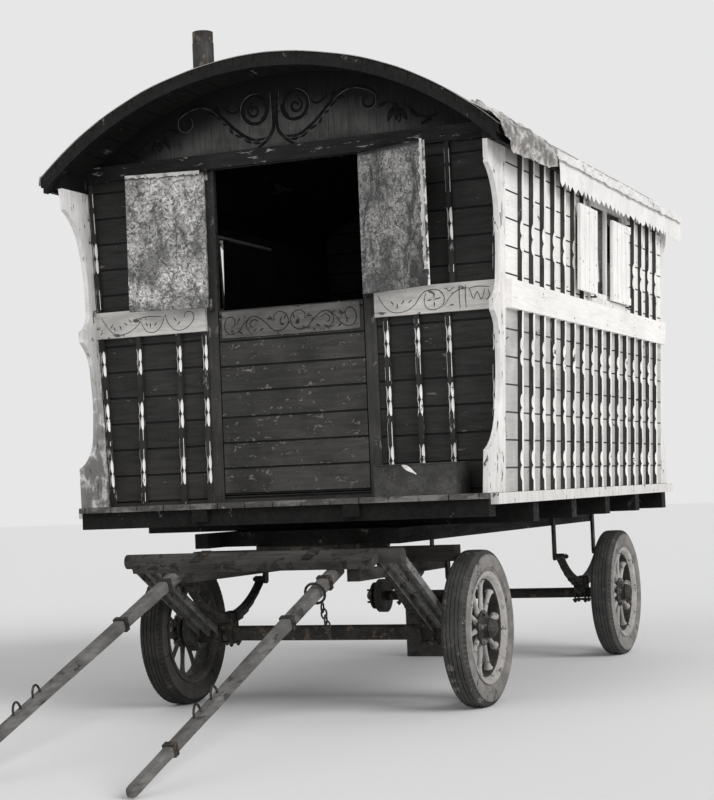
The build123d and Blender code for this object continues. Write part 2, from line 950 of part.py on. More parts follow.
front_spring_x = beam_x + beam_width / 2 + hanger_plate + fit + spring_width / 2
front_clamp_z = 405
front_eye_z = front_clamp_z + leaf_count * leaf_step + spring_rise
with BuildPart() as front_springs:
    spring_pack(front_spring_x, front_axle_y, front_clamp_z, front_span)
    mirror(about=mid_plane)
pieces["front_springs"] = front_springs

with BuildPart() as front_hangers:
    hangers(beam_x + beam_width / 2, front_axle_y, front_eye_z, beam_top, front_span)
    mirror(about=mid_plane)
pieces["front_hangers"] = front_hangers

# Dropped front axle beam with spring pads and stub ends
beam_drop = 25
with BuildPart() as front_axle:
    box(0, axle_end - 40, front_axle_y - 22, front_axle_y + 22, axle_z - beam_drop - 28, axle_z - beam_drop + 28)
    box(axle_end - 40, axle_end, front_axle_y - 26, front_axle_y + 26, axle_z - 62, axle_z + 50)
    with BuildSketch(Plane.YZ):
        with Locations((front_axle_y, axle_z)):
            Circle(stub_radius)
    extrude(amount=track / 2)
    box(
        front_spring_x - spring_width / 2 - 6,
        front_spring_x + spring_width / 2 + 6,
        front_axle_y - 45,
        front_axle_y + 45,
        axle_z,
        front_clamp_z,
    )
    mirror(about=mid_plane)
pieces["front_axle"] = front_axle

# Sloping channels that tie the roller to the axle, two on each side
channel_width = 56
channel_depth = 34
channel_wall = 5
channel_columns = (606, 668)
channel_rise = hinge_z - axle_z + beam_drop
channel_run = front_axle_y - hinge_y
with BuildPart() as radius_channels:
    for x in channel_columns:
        downward = Plane(
            origin=(x, hinge_y, hinge_z),
            x_dir=(1, 0, 0),
            z_dir=(0, channel_run, -channel_rise),
        )
        with BuildSketch(downward):
            Rectangle(channel_width, channel_depth)
            with Locations((0, channel_wall)):
                Rectangle(channel_width - 2 * channel_wall, channel_depth, mode=Mode.SUBTRACT)
        extrude(amount=sqrt(channel_rise**2 + channel_run**2))
    with Locations((0, hinge_y, hinge_z)):
        Cylinder(roller_radius + fit, 2 * roller_length, rotation=(0, 90, 0), mode=Mode.SUBTRACT)
    with Locations((0, front_axle_y, axle_z)):
        Box(2 * track, 52 + 2 * fit, 4 * drum_radius, mode=Mode.SUBTRACT)
    mirror(about=mid_plane)
pieces["radius_channels"] = radius_channels


# Wheels: a = distance along the axle outwards from the middle of the tyre, r = radius
def wheel_plane(side, y):
    """Plane through a wheel's axle: x points outwards, y is the radius."""
    return Plane(origin=(side * track / 2, y, axle_z), x_dir=(side, 0, 0), z_dir=(0, -side, 0))


def tyre_profile():
    """A tyre's section: bead, rounded sidewalls and a flat tread."""
    half = tyre_width / 2
    crown = tyre_diameter / 2
    wall_mid = (rim_flange_radius + crown) / 2
    side = [
        (bead_half_width, rim_seat_radius + fit),
        (bead_half_width, rim_flange_radius + 3),
        (half - 4, wall_mid - 24),
        (half, wall_mid + 2),
        (half - 6, wall_mid + 28),
        (tread_half_width, crown),
    ]
    other_side = [(-out, radius) for out, radius in reversed(side)]
    Polygon(*side, *other_side, align=None)


def rim_profile():
    seat = rim_seat_radius
    Polygon(
        (-54, rim_flange_radius),
        (-54, seat - 8),
        (-30, seat - rim_depth),
        (30, seat - rim_depth),
        (54, seat - 8),
        (54, rim_flange_radius),
        (bead_half_width + fit, rim_flange_radius),
        (bead_half_width + fit, seat),
        (-bead_half_width - fit, seat),
        (-bead_half_width - fit, rim_flange_radius),
        align=None,
    )


bore_radius = stub_radius + bearing_gap
drum_in = -tyre_width / 2 - drum_width / 2 + 2


def hub_profile():
    """Half section of hub, drum and cap: outward distance and radius."""
    Polygon(
        (drum_in, bore_radius),
        (drum_in, drum_radius),
        (drum_in + drum_width, drum_radius),
        (drum_in + drum_width, 60),
        (-14, 56),
        (-14, hub_flange_radius),
        (0, hub_flange_radius),
        (0, 52),
        (20, 52),
        (20, hub_flange_radius),
        (30, hub_flange_radius),
        (34, 46),
        (62, 42),
        (84, 34),
        (94, 18),
        (96, 0),
        (3, 0),
        (3, bore_radius),
        align=None,
    )


wheels = {"front_left": (1, front_axle_y), "front_right": (-1, front_axle_y), "rear_left": (1, rear_axle_y)}
for name, (side, y) in wheels.items():
    plane = wheel_plane(side, y)
    with BuildPart() as tyre:
        with BuildSketch(plane):
            tyre_profile()
        revolve(axis=Axis(plane.origin, plane.x_dir))
    pieces[f"tyre_{name}"] = tyre
    with BuildPart() as wheel:
        with BuildSketch(plane):
            rim_profile()
            hub_profile()
        revolve(axis=Axis(plane.origin, plane.x_dir))
        for spoke in range(spoke_count):
            turned = plane.rotated((spoke * 360 / spoke_count, 0, 0))
            spoke_plane = Plane(
                origin=turned.from_local_coords((10, 50, 0)), x_dir=turned.x_dir, z_dir=turned.y_dir
            )
            with BuildSketch(spoke_plane):
                RegularPolygon(18, 6)
            with BuildSketch(spoke_plane.offset(rim_seat_radius - rim_depth - 46)):
                RegularPolygon(14, 6)
            loft()
    pieces[f"wheel_{name}"] = wheel

# Hub whose wheel is missing: drum, flange with bare studs, and pilot
stud_circle_radius = 63.5
stud_radius = 7
stud_count = 5
stud_length = 26
pilot_radius = 30
flange_face = -2
with BuildPart() as bare_hub:
    plane = wheel_plane(-1, rear_axle_y)
    with BuildSketch(plane):
        Polygon(
            (drum_in, bore_radius),
            (drum_in, drum_radius),
            (drum_in + drum_width, drum_radius),
            (drum_in + drum_width, 60),
            (flange_face - 12, 56),
            (flange_face - 12, hub_flange_radius),
            (flange_face, hub_flange_radius),
            (flange_face, pilot_radius),
            (30, pilot_radius),
            (40, 22),
            (40, 0),
            (3, 0),
            (3, bore_radius),
            align=None,
        )
    revolve(axis=Axis(plane.origin, plane.x_dir))
    stud_plane = Plane(
        origin=plane.from_local_coords((flange_face, 0, 0)), x_dir=(0, 1, 0), z_dir=plane.x_dir
    )
    with BuildSketch(stud_plane):
        with PolarLocations(stud_circle_radius, stud_count):
            Circle(stud_radius)
    extrude(amount=stud_length)
pieces["bare_hub"] = bare_hub

# Shafts, crossbar and irons, built square to a plane that slopes down to the ground
iron_gap = 0.5
root_s = roller_radius + iron_gap + eye_wall + 2
crossbar_top = roller_radius + iron_gap
crossbar_low = crossbar_top - crossbar_height
shaft_mid = crossbar_low - shaft_height / 2
tip_low = shaft_mid - shaft_tip_height / 2
slope = asin(hinge_z / hypot(shaft_length, tip_low)) - atan2(-tip_low, shaft_length)
shaft_plane = Plane(
    origin=(0, hinge_y, hinge_z),
    x_dir=(1, 0, 0),
    z_dir=(0, -sin(slope), cos(slope)),
)

with BuildPart() as crossbar:
    with BuildSketch(shaft_plane.offset(crossbar_low)):
        with Locations((0, -root_s - crossbar_depth / 2)):
            Rectangle(crossbar_length, crossbar_depth)
    extrude(amount=crossbar_height)
pieces["crossbar"] = crossbar

with BuildPart() as shafts:
    root_plane = Plane(
        origin=shaft_plane.from_local_coords((shaft_x, -root_s, shaft_mid)),
        x_dir=(1, 0, 0),
        z_dir=-shaft_plane.y_dir,
    )
    with BuildSketch(root_plane):
        Rectangle(shaft_width, shaft_height)
    with BuildSketch(root_plane.offset(shaft_length - root_s)):
        Rectangle(shaft_tip_width, shaft_tip_height)
    loft()
    mirror(about=mid_plane)
pieces["shafts"] = shafts

with BuildPart() as shaft_irons:
    for side in (-1, 1):
        iron_x = side * (shaft_x - 120)
        iron_plane = Plane(
            origin=shaft_plane.from_local_coords((iron_x - 20, 0, 0)),
            x_dir=shaft_plane.y_dir,
            z_dir=(1, 0, 0),
        )
        with BuildSketch(iron_plane):
            Circle(roller_radius + iron_gap + eye_wall)
            with Locations((-(root_s + 70) / 2, crossbar_top + eye_wall / 2)):
                Rectangle(root_s + 70, eye_wall)
            Circle(roller_radius + iron_gap, mode=Mode.SUBTRACT)
        extrude(amount=40)
pieces["shaft_irons"] = shaft_irons

# The finished wagon is moved so that the middle of its length is at Y = 0
tip_high = shaft_mid + shaft_tip_height / 2
shaft_front_y = hinge_y - shaft_length * cos(slope) - tip_high * sin(slope)
middle_y = (shaft_front_y + roof_rear) / 2
for name, piece in pieces.items():
    piece.part.position += Vector(0, -middle_y, 0)
    piece.part.label = name
    export_step(piece.part, f"parts/{name}.step")
print(len(pieces), "pieces, shaft slope", round(degrees(slope), 3), "middle", round(middle_y, 3))
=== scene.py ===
"""Dresses the living wagon: carved ribs, cloth, papered leaves, spoked wheels and every finish.

Metres. Lengths along the wagon are measured rearwards from the outer face of the front wall.
"""

import json
from math import asin, atan2, cos, pi, radians, sin

import bmesh
import bpy
import numpy as np
from mathutils import Matrix, Vector

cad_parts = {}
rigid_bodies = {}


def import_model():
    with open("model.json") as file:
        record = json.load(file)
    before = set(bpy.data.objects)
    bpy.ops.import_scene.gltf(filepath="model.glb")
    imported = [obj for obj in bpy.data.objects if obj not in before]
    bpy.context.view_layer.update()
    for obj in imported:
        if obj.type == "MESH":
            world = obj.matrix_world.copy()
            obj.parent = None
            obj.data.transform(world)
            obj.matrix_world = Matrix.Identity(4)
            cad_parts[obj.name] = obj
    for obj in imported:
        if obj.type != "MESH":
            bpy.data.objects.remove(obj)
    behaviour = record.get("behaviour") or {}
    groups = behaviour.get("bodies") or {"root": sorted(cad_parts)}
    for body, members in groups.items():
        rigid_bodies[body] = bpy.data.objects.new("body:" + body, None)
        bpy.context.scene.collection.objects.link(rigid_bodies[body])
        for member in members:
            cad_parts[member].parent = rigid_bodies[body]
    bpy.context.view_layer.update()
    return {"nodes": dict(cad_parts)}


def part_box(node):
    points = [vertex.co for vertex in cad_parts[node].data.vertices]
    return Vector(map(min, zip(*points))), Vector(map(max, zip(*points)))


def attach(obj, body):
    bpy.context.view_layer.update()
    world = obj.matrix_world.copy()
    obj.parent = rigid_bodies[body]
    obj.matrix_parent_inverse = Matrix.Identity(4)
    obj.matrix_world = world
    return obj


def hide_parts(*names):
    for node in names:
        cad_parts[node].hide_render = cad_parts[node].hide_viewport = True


bl_info = {
    "name": "Living wagon",
    "version": (1, 0, 0),
    "blender": (4, 5, 0),
    "location": "View3D > Sidebar > Wagon",
    "description": "Dresses a barrel-roof living wagon",
    "category": "Add Mesh",
}

for spare in list(bpy.data.objects):
    bpy.data.objects.remove(spare)
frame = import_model()
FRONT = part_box("front_wall")[0].y
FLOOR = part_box("floor_deck")[1].z
FLOOR_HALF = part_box("floor_deck")[1].x
WALL_HEIGHT, WALL_LEAN_OUT = 1.58, 0.072
WALL_TOP = FLOOR + WALL_HEIGHT
LEAN = atan2(WALL_LEAN_OUT, WALL_HEIGHT)
WALL_RUN = WALL_HEIGHT / cos(LEAN)
BODY = 2.99
ROOF_RADIUS = 1.75
ROOF_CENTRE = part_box("roof")[1].z - ROOF_RADIUS
ROOF_HALF = 1.19
ROOF_FRONT = -0.3
ROOF_REAR = BODY + 0.22
WAIST = (0.843, 0.975)
RAIL_HEIGHT = 0.132
RAIL_LOW = FLOOR + WAIST[0] * cos(LEAN)
RAIL_TOP = RAIL_LOW + RAIL_HEIGHT
HEADER_LOW = WALL_TOP + 0.055
FRONT_AXLE = 0.28
REAR_AXLE = 2.8
AXLE_UP = 0.37
HALF_TRACK = 0.79
SHAFT_HINGE = (-0.42, 0.75)
SHAFT_SLOPE = radians(19.856)
SHAFT_X, SHAFT_UNDER = 0.4, -0.0335
IRON = "old_iron"
FINISHES = {}


def grey(level, warm=0.0):
    """A near-neutral paint of a screen brightness from 0 to 1, as linear light."""
    tinted = (level * (1 + warm), level, level * (1 - warm))
    return tuple(max(0.0, c) ** 2.2 for c in tinted)


# Shader nodes


class Tree:
    """Adds shader nodes to one new material and links them."""

    def __init__(self, name):
        self.material = FINISHES[name] = bpy.data.materials.new(name)
        self.material.use_nodes = True
        self.nodes = self.material.node_tree.nodes
        self.links = self.material.node_tree.links
        self.nodes.clear()
        self.shader = self.nodes.new("ShaderNodeBsdfPrincipled")
        out = self.nodes.new("ShaderNodeOutputMaterial")
        self.links.new(self.shader.outputs[0], out.inputs["Surface"])
        self.place = self.nodes.new("ShaderNodeTexCoord").outputs["Object"]

    def put(self, socket, value):
        if isinstance(value, bpy.types.NodeSocket):
            self.links.new(value, socket)
        elif isinstance(value, tuple) and socket.type == "RGBA":
            socket.default_value = (*value, 1.0)
        else:
            socket.default_value = value

    def feed(self, name, value):
        """Sets or links one of the shader's inputs."""
        self.put(self.shader.inputs[name], value)

    def math(self, operation, a, b=0.0):
        node = self.nodes.new("ShaderNodeMath")
        node.operation = operation
        self.put(node.inputs[0], a)
        self.put(node.inputs[1], b)
        return node.outputs[0]

    def plus(self, a, b):
        return self.math("ADD", a, b)

    def minus(self, a, b):
        return self.math("SUBTRACT", a, b)

    def product(self, a, b):
        return self.math("MULTIPLY", a, b)

    def mix(self, share, a, b):
        node = self.nodes.new("ShaderNodeMix")
        node.data_type = "RGBA"
        self.put(node.inputs[0], share)
        self.put(node.inputs[6], a)
        self.put(node.inputs[7], b)
        return node.outputs[2]

    def ramp(self, value, low, high, start=0.0, end=1.0):
        """A smooth step: start below low, end above high."""
        node = self.nodes.new("ShaderNodeMapRange")
        node.interpolation_type = "SMOOTHSTEP"
        self.put(node.inputs["Value"], value)
        for socket, number in zip(node.inputs[1:5], (low, high, start, end)):
            socket.default_value = number
        return node.outputs[0]

    def noise(self, scale, detail=3.0, rough=0.55, vector=None, twist=0.0):
        node = self.nodes.new("ShaderNodeTexNoise")
        self.put(node.inputs["Vector"], vector or self.place)
        node.inputs["Scale"].default_value = scale
        node.inputs["Detail"].default_value = detail
        node.inputs["Roughness"].default_value = rough
        node.inputs["Distortion"].default_value = twist
        return node.outputs["Fac"]

    def cells(self, scale, vector=None, feature="F1"):
        node = self.nodes.new("ShaderNodeTexVoronoi")
        node.feature = feature
        self.put(node.inputs["Vector"], vector or self.place)
        node.inputs["Scale"].default_value = scale
        return node.outputs["Distance"]

    def stretch(self, scale, vector=None):
        node = self.nodes.new("ShaderNodeMapping")
        self.put(node.inputs["Vector"], vector or self.place)
        node.inputs["Scale"].default_value = scale
        return node.outputs[0]

    def axis(self, letter, vector=None):
        node = self.nodes.new("ShaderNodeSeparateXYZ")
        self.put(node.inputs[0], vector or self.place)
        return node.outputs[letter]

    def lines(self, value, origin, pitch, half_width):
        """1 in thin lines that repeat with a pitch from an origin, and 0 between them."""
        gap = self.math("PINGPONG", self.minus(value, origin), pitch / 2)
        return self.ramp(gap, half_width * 0.4, half_width, 1.0, 0.0)

    def finish(self, colour, roughness, height, depth):
        """Links colour and roughness to the shader, and a height as a bump of a depth in metres."""
        self.feed("Base Color", colour)
        self.feed("Roughness", roughness)
        node = self.nodes.new("ShaderNodeBump")
        self.put(node.inputs["Height"], height)
        node.inputs["Distance"].default_value = depth
        self.feed("Normal", node.outputs[0])


def times(colour, factor):
    return tuple(c * factor for c in colour)


DULL = 0.18
EVEN, ACROSS, ALONG, UPRIGHT = (1, 1, 1), (0.12, 1, 1), (1, 0.1, 1), (1, 1, 0.1)
# Cut grooves of a finish: axis, origin, pitch, half width, colour
GROOVES = {
    "white_boards": ("Z", 1.12, 0.1275, 0.0045, grey(0.14)),
    "dark_boards": ("Z", 1.16, 0.13, 0.0055, grey(0.07)),
    "rear_boards": ("Z", 1.16, 0.13, 0.0055, grey(0.07)),
    "door_boards": ("Z", 1.05, 0.124, 0.0055, grey(0.06)),
    "shutter_white": ("Y", FRONT + 1.0445, 0.0915, 0.0016, grey(0.45)),
    "floor_boards": ("X", 0.0, 0.145, 0.003, grey(0.08)),
    "shaded_roof_lining": ("X", 0.0, 0.11, 0.003, grey(0.06)),
}
# Splashed mud low on a finish: top height, share, colour
MUD = {
    "white_boards": (1.5, 0.35, grey(0.4, 0.05)),
    "dark_boards": (1.4, 0.3, grey(0.4, 0.03)),
    "rear_boards": (1.5, 0.3, grey(0.4, 0.03)),
    "door_boards": (1.5, 0.45, grey(0.42, 0.03)),
    "flaking_white": (1.5, 0.45, grey(0.46, 0.03)),
    "bracket_white": (1.4, 0.5, grey(0.4, 0.03)),
    "wheel_paint": (0.5, 0.3, grey(0.36, 0.04)),
}


def back_face(t):
    """The inner face of the front wall and its gable."""
    return t.ramp(t.axis("Y"), FRONT + 0.012, FRONT + 0.016)


def wall_lining(t):
    """The inner face of a leaning side wall, which lies behind its outer face."""
    lean_x = t.product(t.minus(t.axis("Z"), FLOOR), sin(LEAN))
    out = t.product(t.minus(t.math("ABSOLUTE", t.axis("X")), FLOOR_HALF), cos(LEAN))
    return t.ramp(t.minus(out, lean_x), -0.016, -0.01, 1.0, 0.0)


def low_patches_and_eave_shadow(t):
    """Darker patches on the boards below the waist rail, and a painted shadow along the wall's top under the eaves.
    """
    patches = t.ramp(t.noise(5.0, 5.0, 0.6), 0.3, 0.7, 0.34, 0.56)
    low = t.product(t.ramp(t.axis("Z"), RAIL_LOW, RAIL_LOW + 0.03, 1.0, 0.0), patches)
    # painted shadow: the wall darkens towards its top under the eaves
    return t.math("MAXIMUM", low, t.ramp(t.axis("Z"), WALL_TOP - 0.09, WALL_TOP - 0.02, 0.0, 0.6))


def far_bracket_wear(t):
    """The far front bracket, bare and grey from its middle down."""
    right = t.ramp(t.axis("X"), -1.0, -0.9, 1.0, 0.0)
    far = t.product(right, t.ramp(t.axis("Y"), FRONT, FRONT + 0.1, 1.0, 0.0))
    low = t.ramp(t.axis("Z"), 1.15, 2.25, 0.85, 0.0)
    return t.product(t.product(far, low), t.ramp(t.noise(11.0, 6.0, 0.68), 0.32, 0.52))


def worn_nosing(t):
    """The porch's front edge, rubbed pale in patches."""
    rubbed = t.ramp(t.noise(16.0, 6.0, 0.68, t.stretch((0.4, 1.0, 1.0))), 0.46, 0.58)
    return t.product(rubbed, t.ramp(t.axis("Y"), FRONT - 0.268, FRONT - 0.25, 1.0, 0.0))


# What lies over a finish's paint, mud and grooves: colour, and a function that gives where
OVERLAYS = {
    "white_boards": ((grey(0.36, 0.02), low_patches_and_eave_shadow), (grey(0.22, 0.03), wall_lining)),
    "dark_boards": ((grey(0.18), back_face),),
    "bracket_white": ((grey(0.34, 0.03), far_bracket_wear),),
    "floor_boards": ((grey(0.46, 0.02), worn_nosing),),
}
# Columns: the parameters of surface()
SURFACES = (
    ("white_boards", 0.94, 0.01, 0.1, 2, ALONG, 70, 0.2, 0.36, 0.03, 0.1, 17, (1, 0.35, 1), 0.45, 0.8, 0.0022, 0),
    ("dark_boards", 0.195, 0.015, 0.3, 2.4, ACROSS, 60, 0.5, 0.42, 0.02, 0.12, 30, (0.4, 1, 1), 0.4, 0.75, 0.0025, 0),
    ("rear_boards", 0.36, 0.015, 0.3, 2.4, ACROSS, 60, 0.5, 0.52, 0.02, 0.14, 11, (0.4, 1, 1), 0.4, 0.75, 0.0025, 0),
    ("door_boards", 0.245, 0.015, 0.4, 3.2, ACROSS, 55, 0.6, 0.46, 0.02, 0.27, 38, (0.6, 1, 1), 0.35, 0.7, 0.0028, 0),
    ("door_scroll_board", 0.4, 0.02, 0.3, 5, ACROSS, 60, 0.55, 0.24, 0, 0.24, 26, EVEN, 0.5, 0.8, 0.002, 0),
    # painted shade: the roof bows and cornices are near black under the roof's overhang
    ("dark_trim", 0.11, 0.01, 0.35, 4, UPRIGHT, 60, 0.4, 0.3, 0.01, 0.1, 20, (1, 1, 0.5), 0.5, 0.8, 0.002, 0),
    ("post_paint", 0.25, 0.015, 0.35, 5, UPRIGHT, 60, 0.5, 0.46, 0.01, 0.2, 26, (1, 1, 0.4), 0.45, 0.75, 0.002, 0),
    ("flaked_header", 0.14, 0.01, 0.3, 4, ACROSS, 60, 0.4, 0.62, 0.01, 0.2, 30, (0.35, 1, 1.6), 0.45, 0.8, 0.002, 0),
    ("rib_shade", 0.21, 0.02, 0.3, 6, UPRIGHT, 50, 0.4, 0.62, 0, 0.22, 34, (1, 1, 0.35), 0.55, 0.85, 0.002, 0),
    ("side_rib_shade", 0.27, 0.02, 0.4, 9, UPRIGHT, 50, 0.6, 0.55, 0.02, 0.14, 24, (1, 1, 0.3), 0.55, 0.85, 0.002, 0),
    ("rib_paint", 0.94, 0.01, 0.1, 7, UPRIGHT, 60, 0.3, 0.36, 0.03, 0.14, 30, (1, 1, 0.5), 0.55, 0.85, 0.002, 0),
    ("rail_cream", 0.8, 0.015, 0.2, 4, ACROSS, 60, 0.4, 0.4, 0, 0.14, 24, (0.5, 0.5, 1), 0.45, 0.8, 0.002, 0),
    ("rail_white", 0.95, 0.01, 0.08, 3, ALONG, 60, 0.2, 0.36, 0.03, 0.08, 20, (1, 0.4, 1), 0.55, 0.85, 0.002, 0),
    ("flaking_white", 0.92, 0.01, 0.14, 4, UPRIGHT, 55, 0.35, 0.4, 0.03, 0.16, 26, (1, 1, 0.4), 0.5, 0.85, 0.003, 0),
    ("shutter_white", 0.95, 0.01, 0.08, 4, UPRIGHT, 60, 0.2, 0.36, 0.03, 0.07, 22, EVEN, 0.55, 0.85, 0.002, 0),
    ("bracket_white", 0.92, 0.01, 0.14, 4, UPRIGHT, 55, 0.35, 0.4, 0.03, 0.18, 26, (1, 1, 0.4), 0.5, 0.85, 0.003, 0),
    ("scroll_paint", 0.14, 0, 0.35, 9, ACROSS, 60, 0.3, 0.4, 0, 0.12, 20, EVEN, 0.55, 0.85, 0.002, 0),
    ("gable_scroll", 0.06, 0, 0.3, 9, ACROSS, 60, 0.3, 0.3, 0, 0.1, 18, EVEN, 0.55, 0.85, 0.002, 0),
    ("gable_outline", 0.42, 0.02, 0.35, 9, ACROSS, 60, 0.5, 0.14, 0, 0.3, 26, EVEN, 0.55, 0.85, 0.002, 0),
    ("weathered_pole", 0.42, 0.02, 0.35, 6, ALONG, 48, 0.75, 0.3, 0.03, 0.2, 16, (1, 0.25, 1), 0.6, 0.9, 0.004, 0),
    ("weathered_beam", 0.27, 0.03, 0.3, 4, ALONG, 42, 0.6, 0.22, 0.02, 0.3, 8, EVEN, 0.65, 0.9, 0.004, 0),
    ("cross_beam", 0.27, 0.03, 0.4, 4, ACROSS, 42, 0.7, 0.2, 0.02, 0.3, 16, EVEN, 0.65, 0.9, 0.004, 0),
    ("dark_frame", 0.115, 0.03, 0.35, 4, ALONG, 42, 0.5, 0.4, 0.03, 0.12, 9, EVEN, 0.6, 0.9, 0.003, 0),
    ("floor_boards", 0.33, 0.03, 0.3, 3, ALONG, 45, 0.6, 0.52, 0.03, 0.2, 9, (1, 0.3, 1), 0.65, 0.9, 0.003, 0),
    # painted shade: the roof's lining is near black under its overhangs
    ("shaded_roof_lining", 0.13, 0.03, 0.3, 3, ALONG, 45, 0.5, 0.42, 0.03, 0.12, 9, (1, 0.3, 1), 0.6, 0.9, 0.003, 0),
    ("roof_canvas", 0.66, 0.01, 0.35, 2.6, EVEN, 110, 0.5, 0.36, 0, 0.1, 16, EVEN, 0.7, 0.95, 0.003, 0),
    (IRON, 0.22, 0.02, 0.4, 14, EVEN, 90, 0.35, 0.34, 0.12, 0.35, 22, EVEN, 0.5, 0.85, 0.0015, 0.35),
    # the hub's dark iron, also worn by the rim's inner well as painted shade
    ("hub_iron_and_well_shade", 0.26, 0.02, 0.4, 14, EVEN, 90, 0.4, 0.5, 0.03, 0.22, 18, EVEN, 0.5, 0.85, 0.0015, 0.2),
    ("pale_iron", 0.5, 0.01, 0.35, 14, EVEN, 90, 0.35, 0.28, 0.1, 0.3, 20, EVEN, 0.45, 0.8, 0.0015, 0.35),
    ("pipe_iron", 0.26, 0.02, 0.4, 8, UPRIGHT, 60, 0.4, 0.42, 0.1, 0.25, 14, EVEN, 0.5, 0.85, 0.0015, 0.4),
    ("worn_tin", 0.3, 0.01, 0.4, 6, EVEN, 60, 0.45, 0.44, 0.05, 0.22, 30, EVEN, 0.45, 0.8, 0.0025, 0.3),
    ("dark_tread", 0.29, 0.01, 0.35, 9, EVEN, 160, 0.3, 0.46, 0.03, 0.22, 14, EVEN, 0.8, 0.95, 0.001, 0),
    # the tyres' sidewalls, paler than their tread
    ("pale_sidewall_rubber", 0.5, 0.02, 0.35, 9, EVEN, 120, 0.4, 0.34, 0.02, 0.25, 11, EVEN, 0.8, 0.95, 0.001, 0),
    ("wheel_paint", 0.68, 0.02, 0.25, 10, EVEN, 90, 0.45, 0.24, 0.04, 0.24, 34, EVEN, 0.45, 0.8, 0.0015, 0),
    # painted shade: darker copies of the wheel paint, sidewall rubber and tread for the far front wheel
    ("shaded_far_wheel", 0.3, 0.03, 0.35, 10, EVEN, 90, 0.5, 0.5, 0.03, 0.12, 30, EVEN, 0.6, 0.9, 0.0015, 0),
    ("shaded_far_tread", 0.2, 0.02, 0.35, 9, EVEN, 160, 0.3, 0.3, 0.03, 0.2, 14, EVEN, 0.8, 0.95, 0.001, 0),
    ("shaded_far_rubber", 0.28, 0.02, 0.35, 9, EVEN, 120, 0.4, 0.2, 0.02, 0.25, 11, EVEN, 0.8, 0.95, 0.001, 0),
)


def surface(
    name, level, warm, spread, patch, grain, grain_scale, grain_depth, bare_level, bare_warm, wear, wear_scale,
    wear_stretch, smooth, rough, depth, metallic,
):
    """A painted, bare or metal surface with blotches, grain, flaked patches, mud and cut grooves.

    level and warm give the paint, bare_level and bare_warm what shows where it has flaked.
    """
    t = Tree(name)
    colour, worn = grey(level, warm), grey(bare_level, bare_warm)
    blotch = t.noise(patch, 4.0, 0.6)
    fine = t.noise(grain_scale, 5.0, 0.65, t.stretch(grain))
    base = t.mix(t.ramp(blotch, 0.3, 0.7), times(colour, 1 - spread), times(colour, 1 + spread * 0.6))
    base = t.mix(t.ramp(fine, 0.35, 0.75, 0.0, grain_depth), base, times(colour, 0.35))
    flakes = t.noise(wear_scale, 8.0, 0.68, t.stretch(wear_stretch), 0.4)
    bare = t.ramp(flakes, 0.66 - wear * 0.3, 0.69 - wear * 0.3)
    base = t.mix(bare, base, t.mix(t.ramp(fine, 0.3, 0.7), worn, times(worn, 0.55)))
    height = t.minus(fine, t.product(bare, 0.8))
    if name in MUD:
        top, share, mud_colour = MUD[name]
        splash = t.product(t.ramp(t.axis("Z"), top * 0.4, top, share, 0.0), t.ramp(blotch, 0.3, 0.6))
        base = t.mix(splash, base, mud_colour)
    if name in GROOVES:
        letter, origin, pitch, half_width, groove_colour = GROOVES[name]
        cut = t.lines(t.axis(letter), origin, pitch, half_width)
        base = t.mix(cut, base, groove_colour)
        height = t.minus(height, t.product(cut, 3.0))
    for over, share in OVERLAYS.get(name, ()):
        base = t.mix(share(t), base, over)
    t.finish(base, t.ramp(fine, 0.2, 0.8, smooth, rough), height, depth)
    t.feed("Metallic", metallic)
    t.feed("Specular IOR Level", DULL)


def cloth(name, colour, stain, weave=900.0, spread=0.3, stained=0.6):
    """Woven cloth: threads both ways in the piece's own UV map, stains and a soft sheen.

    stained is the noise level above which a stain shows, so a lower one stains more.
    """
    t = Tree(name)
    uv = t.nodes.new("ShaderNodeTexCoord").outputs["UV"]
    along = t.math("SINE", t.product(t.axis("X", uv), weave))
    across = t.math("SINE", t.product(t.axis("Y", uv), weave))
    threads = t.product(along, across)
    blotch = t.noise(5.0, 5.0, 0.65)
    base = t.mix(t.ramp(blotch, 0.35, 0.7), colour, times(colour, 1 - spread))
    base = t.mix(t.ramp(t.noise(13.0, 6.0, 0.7), stained, stained + 0.15, 0.0, 0.7), base, stain)
    base = t.mix(t.ramp(threads, -1.0, 1.0, 0.0, 0.12), base, times(colour, 0.4))
    t.finish(base, t.ramp(blotch, 0.2, 0.8, 0.8, 0.95), t.plus(t.product(threads, 0.3), blotch), 0.0012)
    t.feed("Sheen Weight", 0.2)


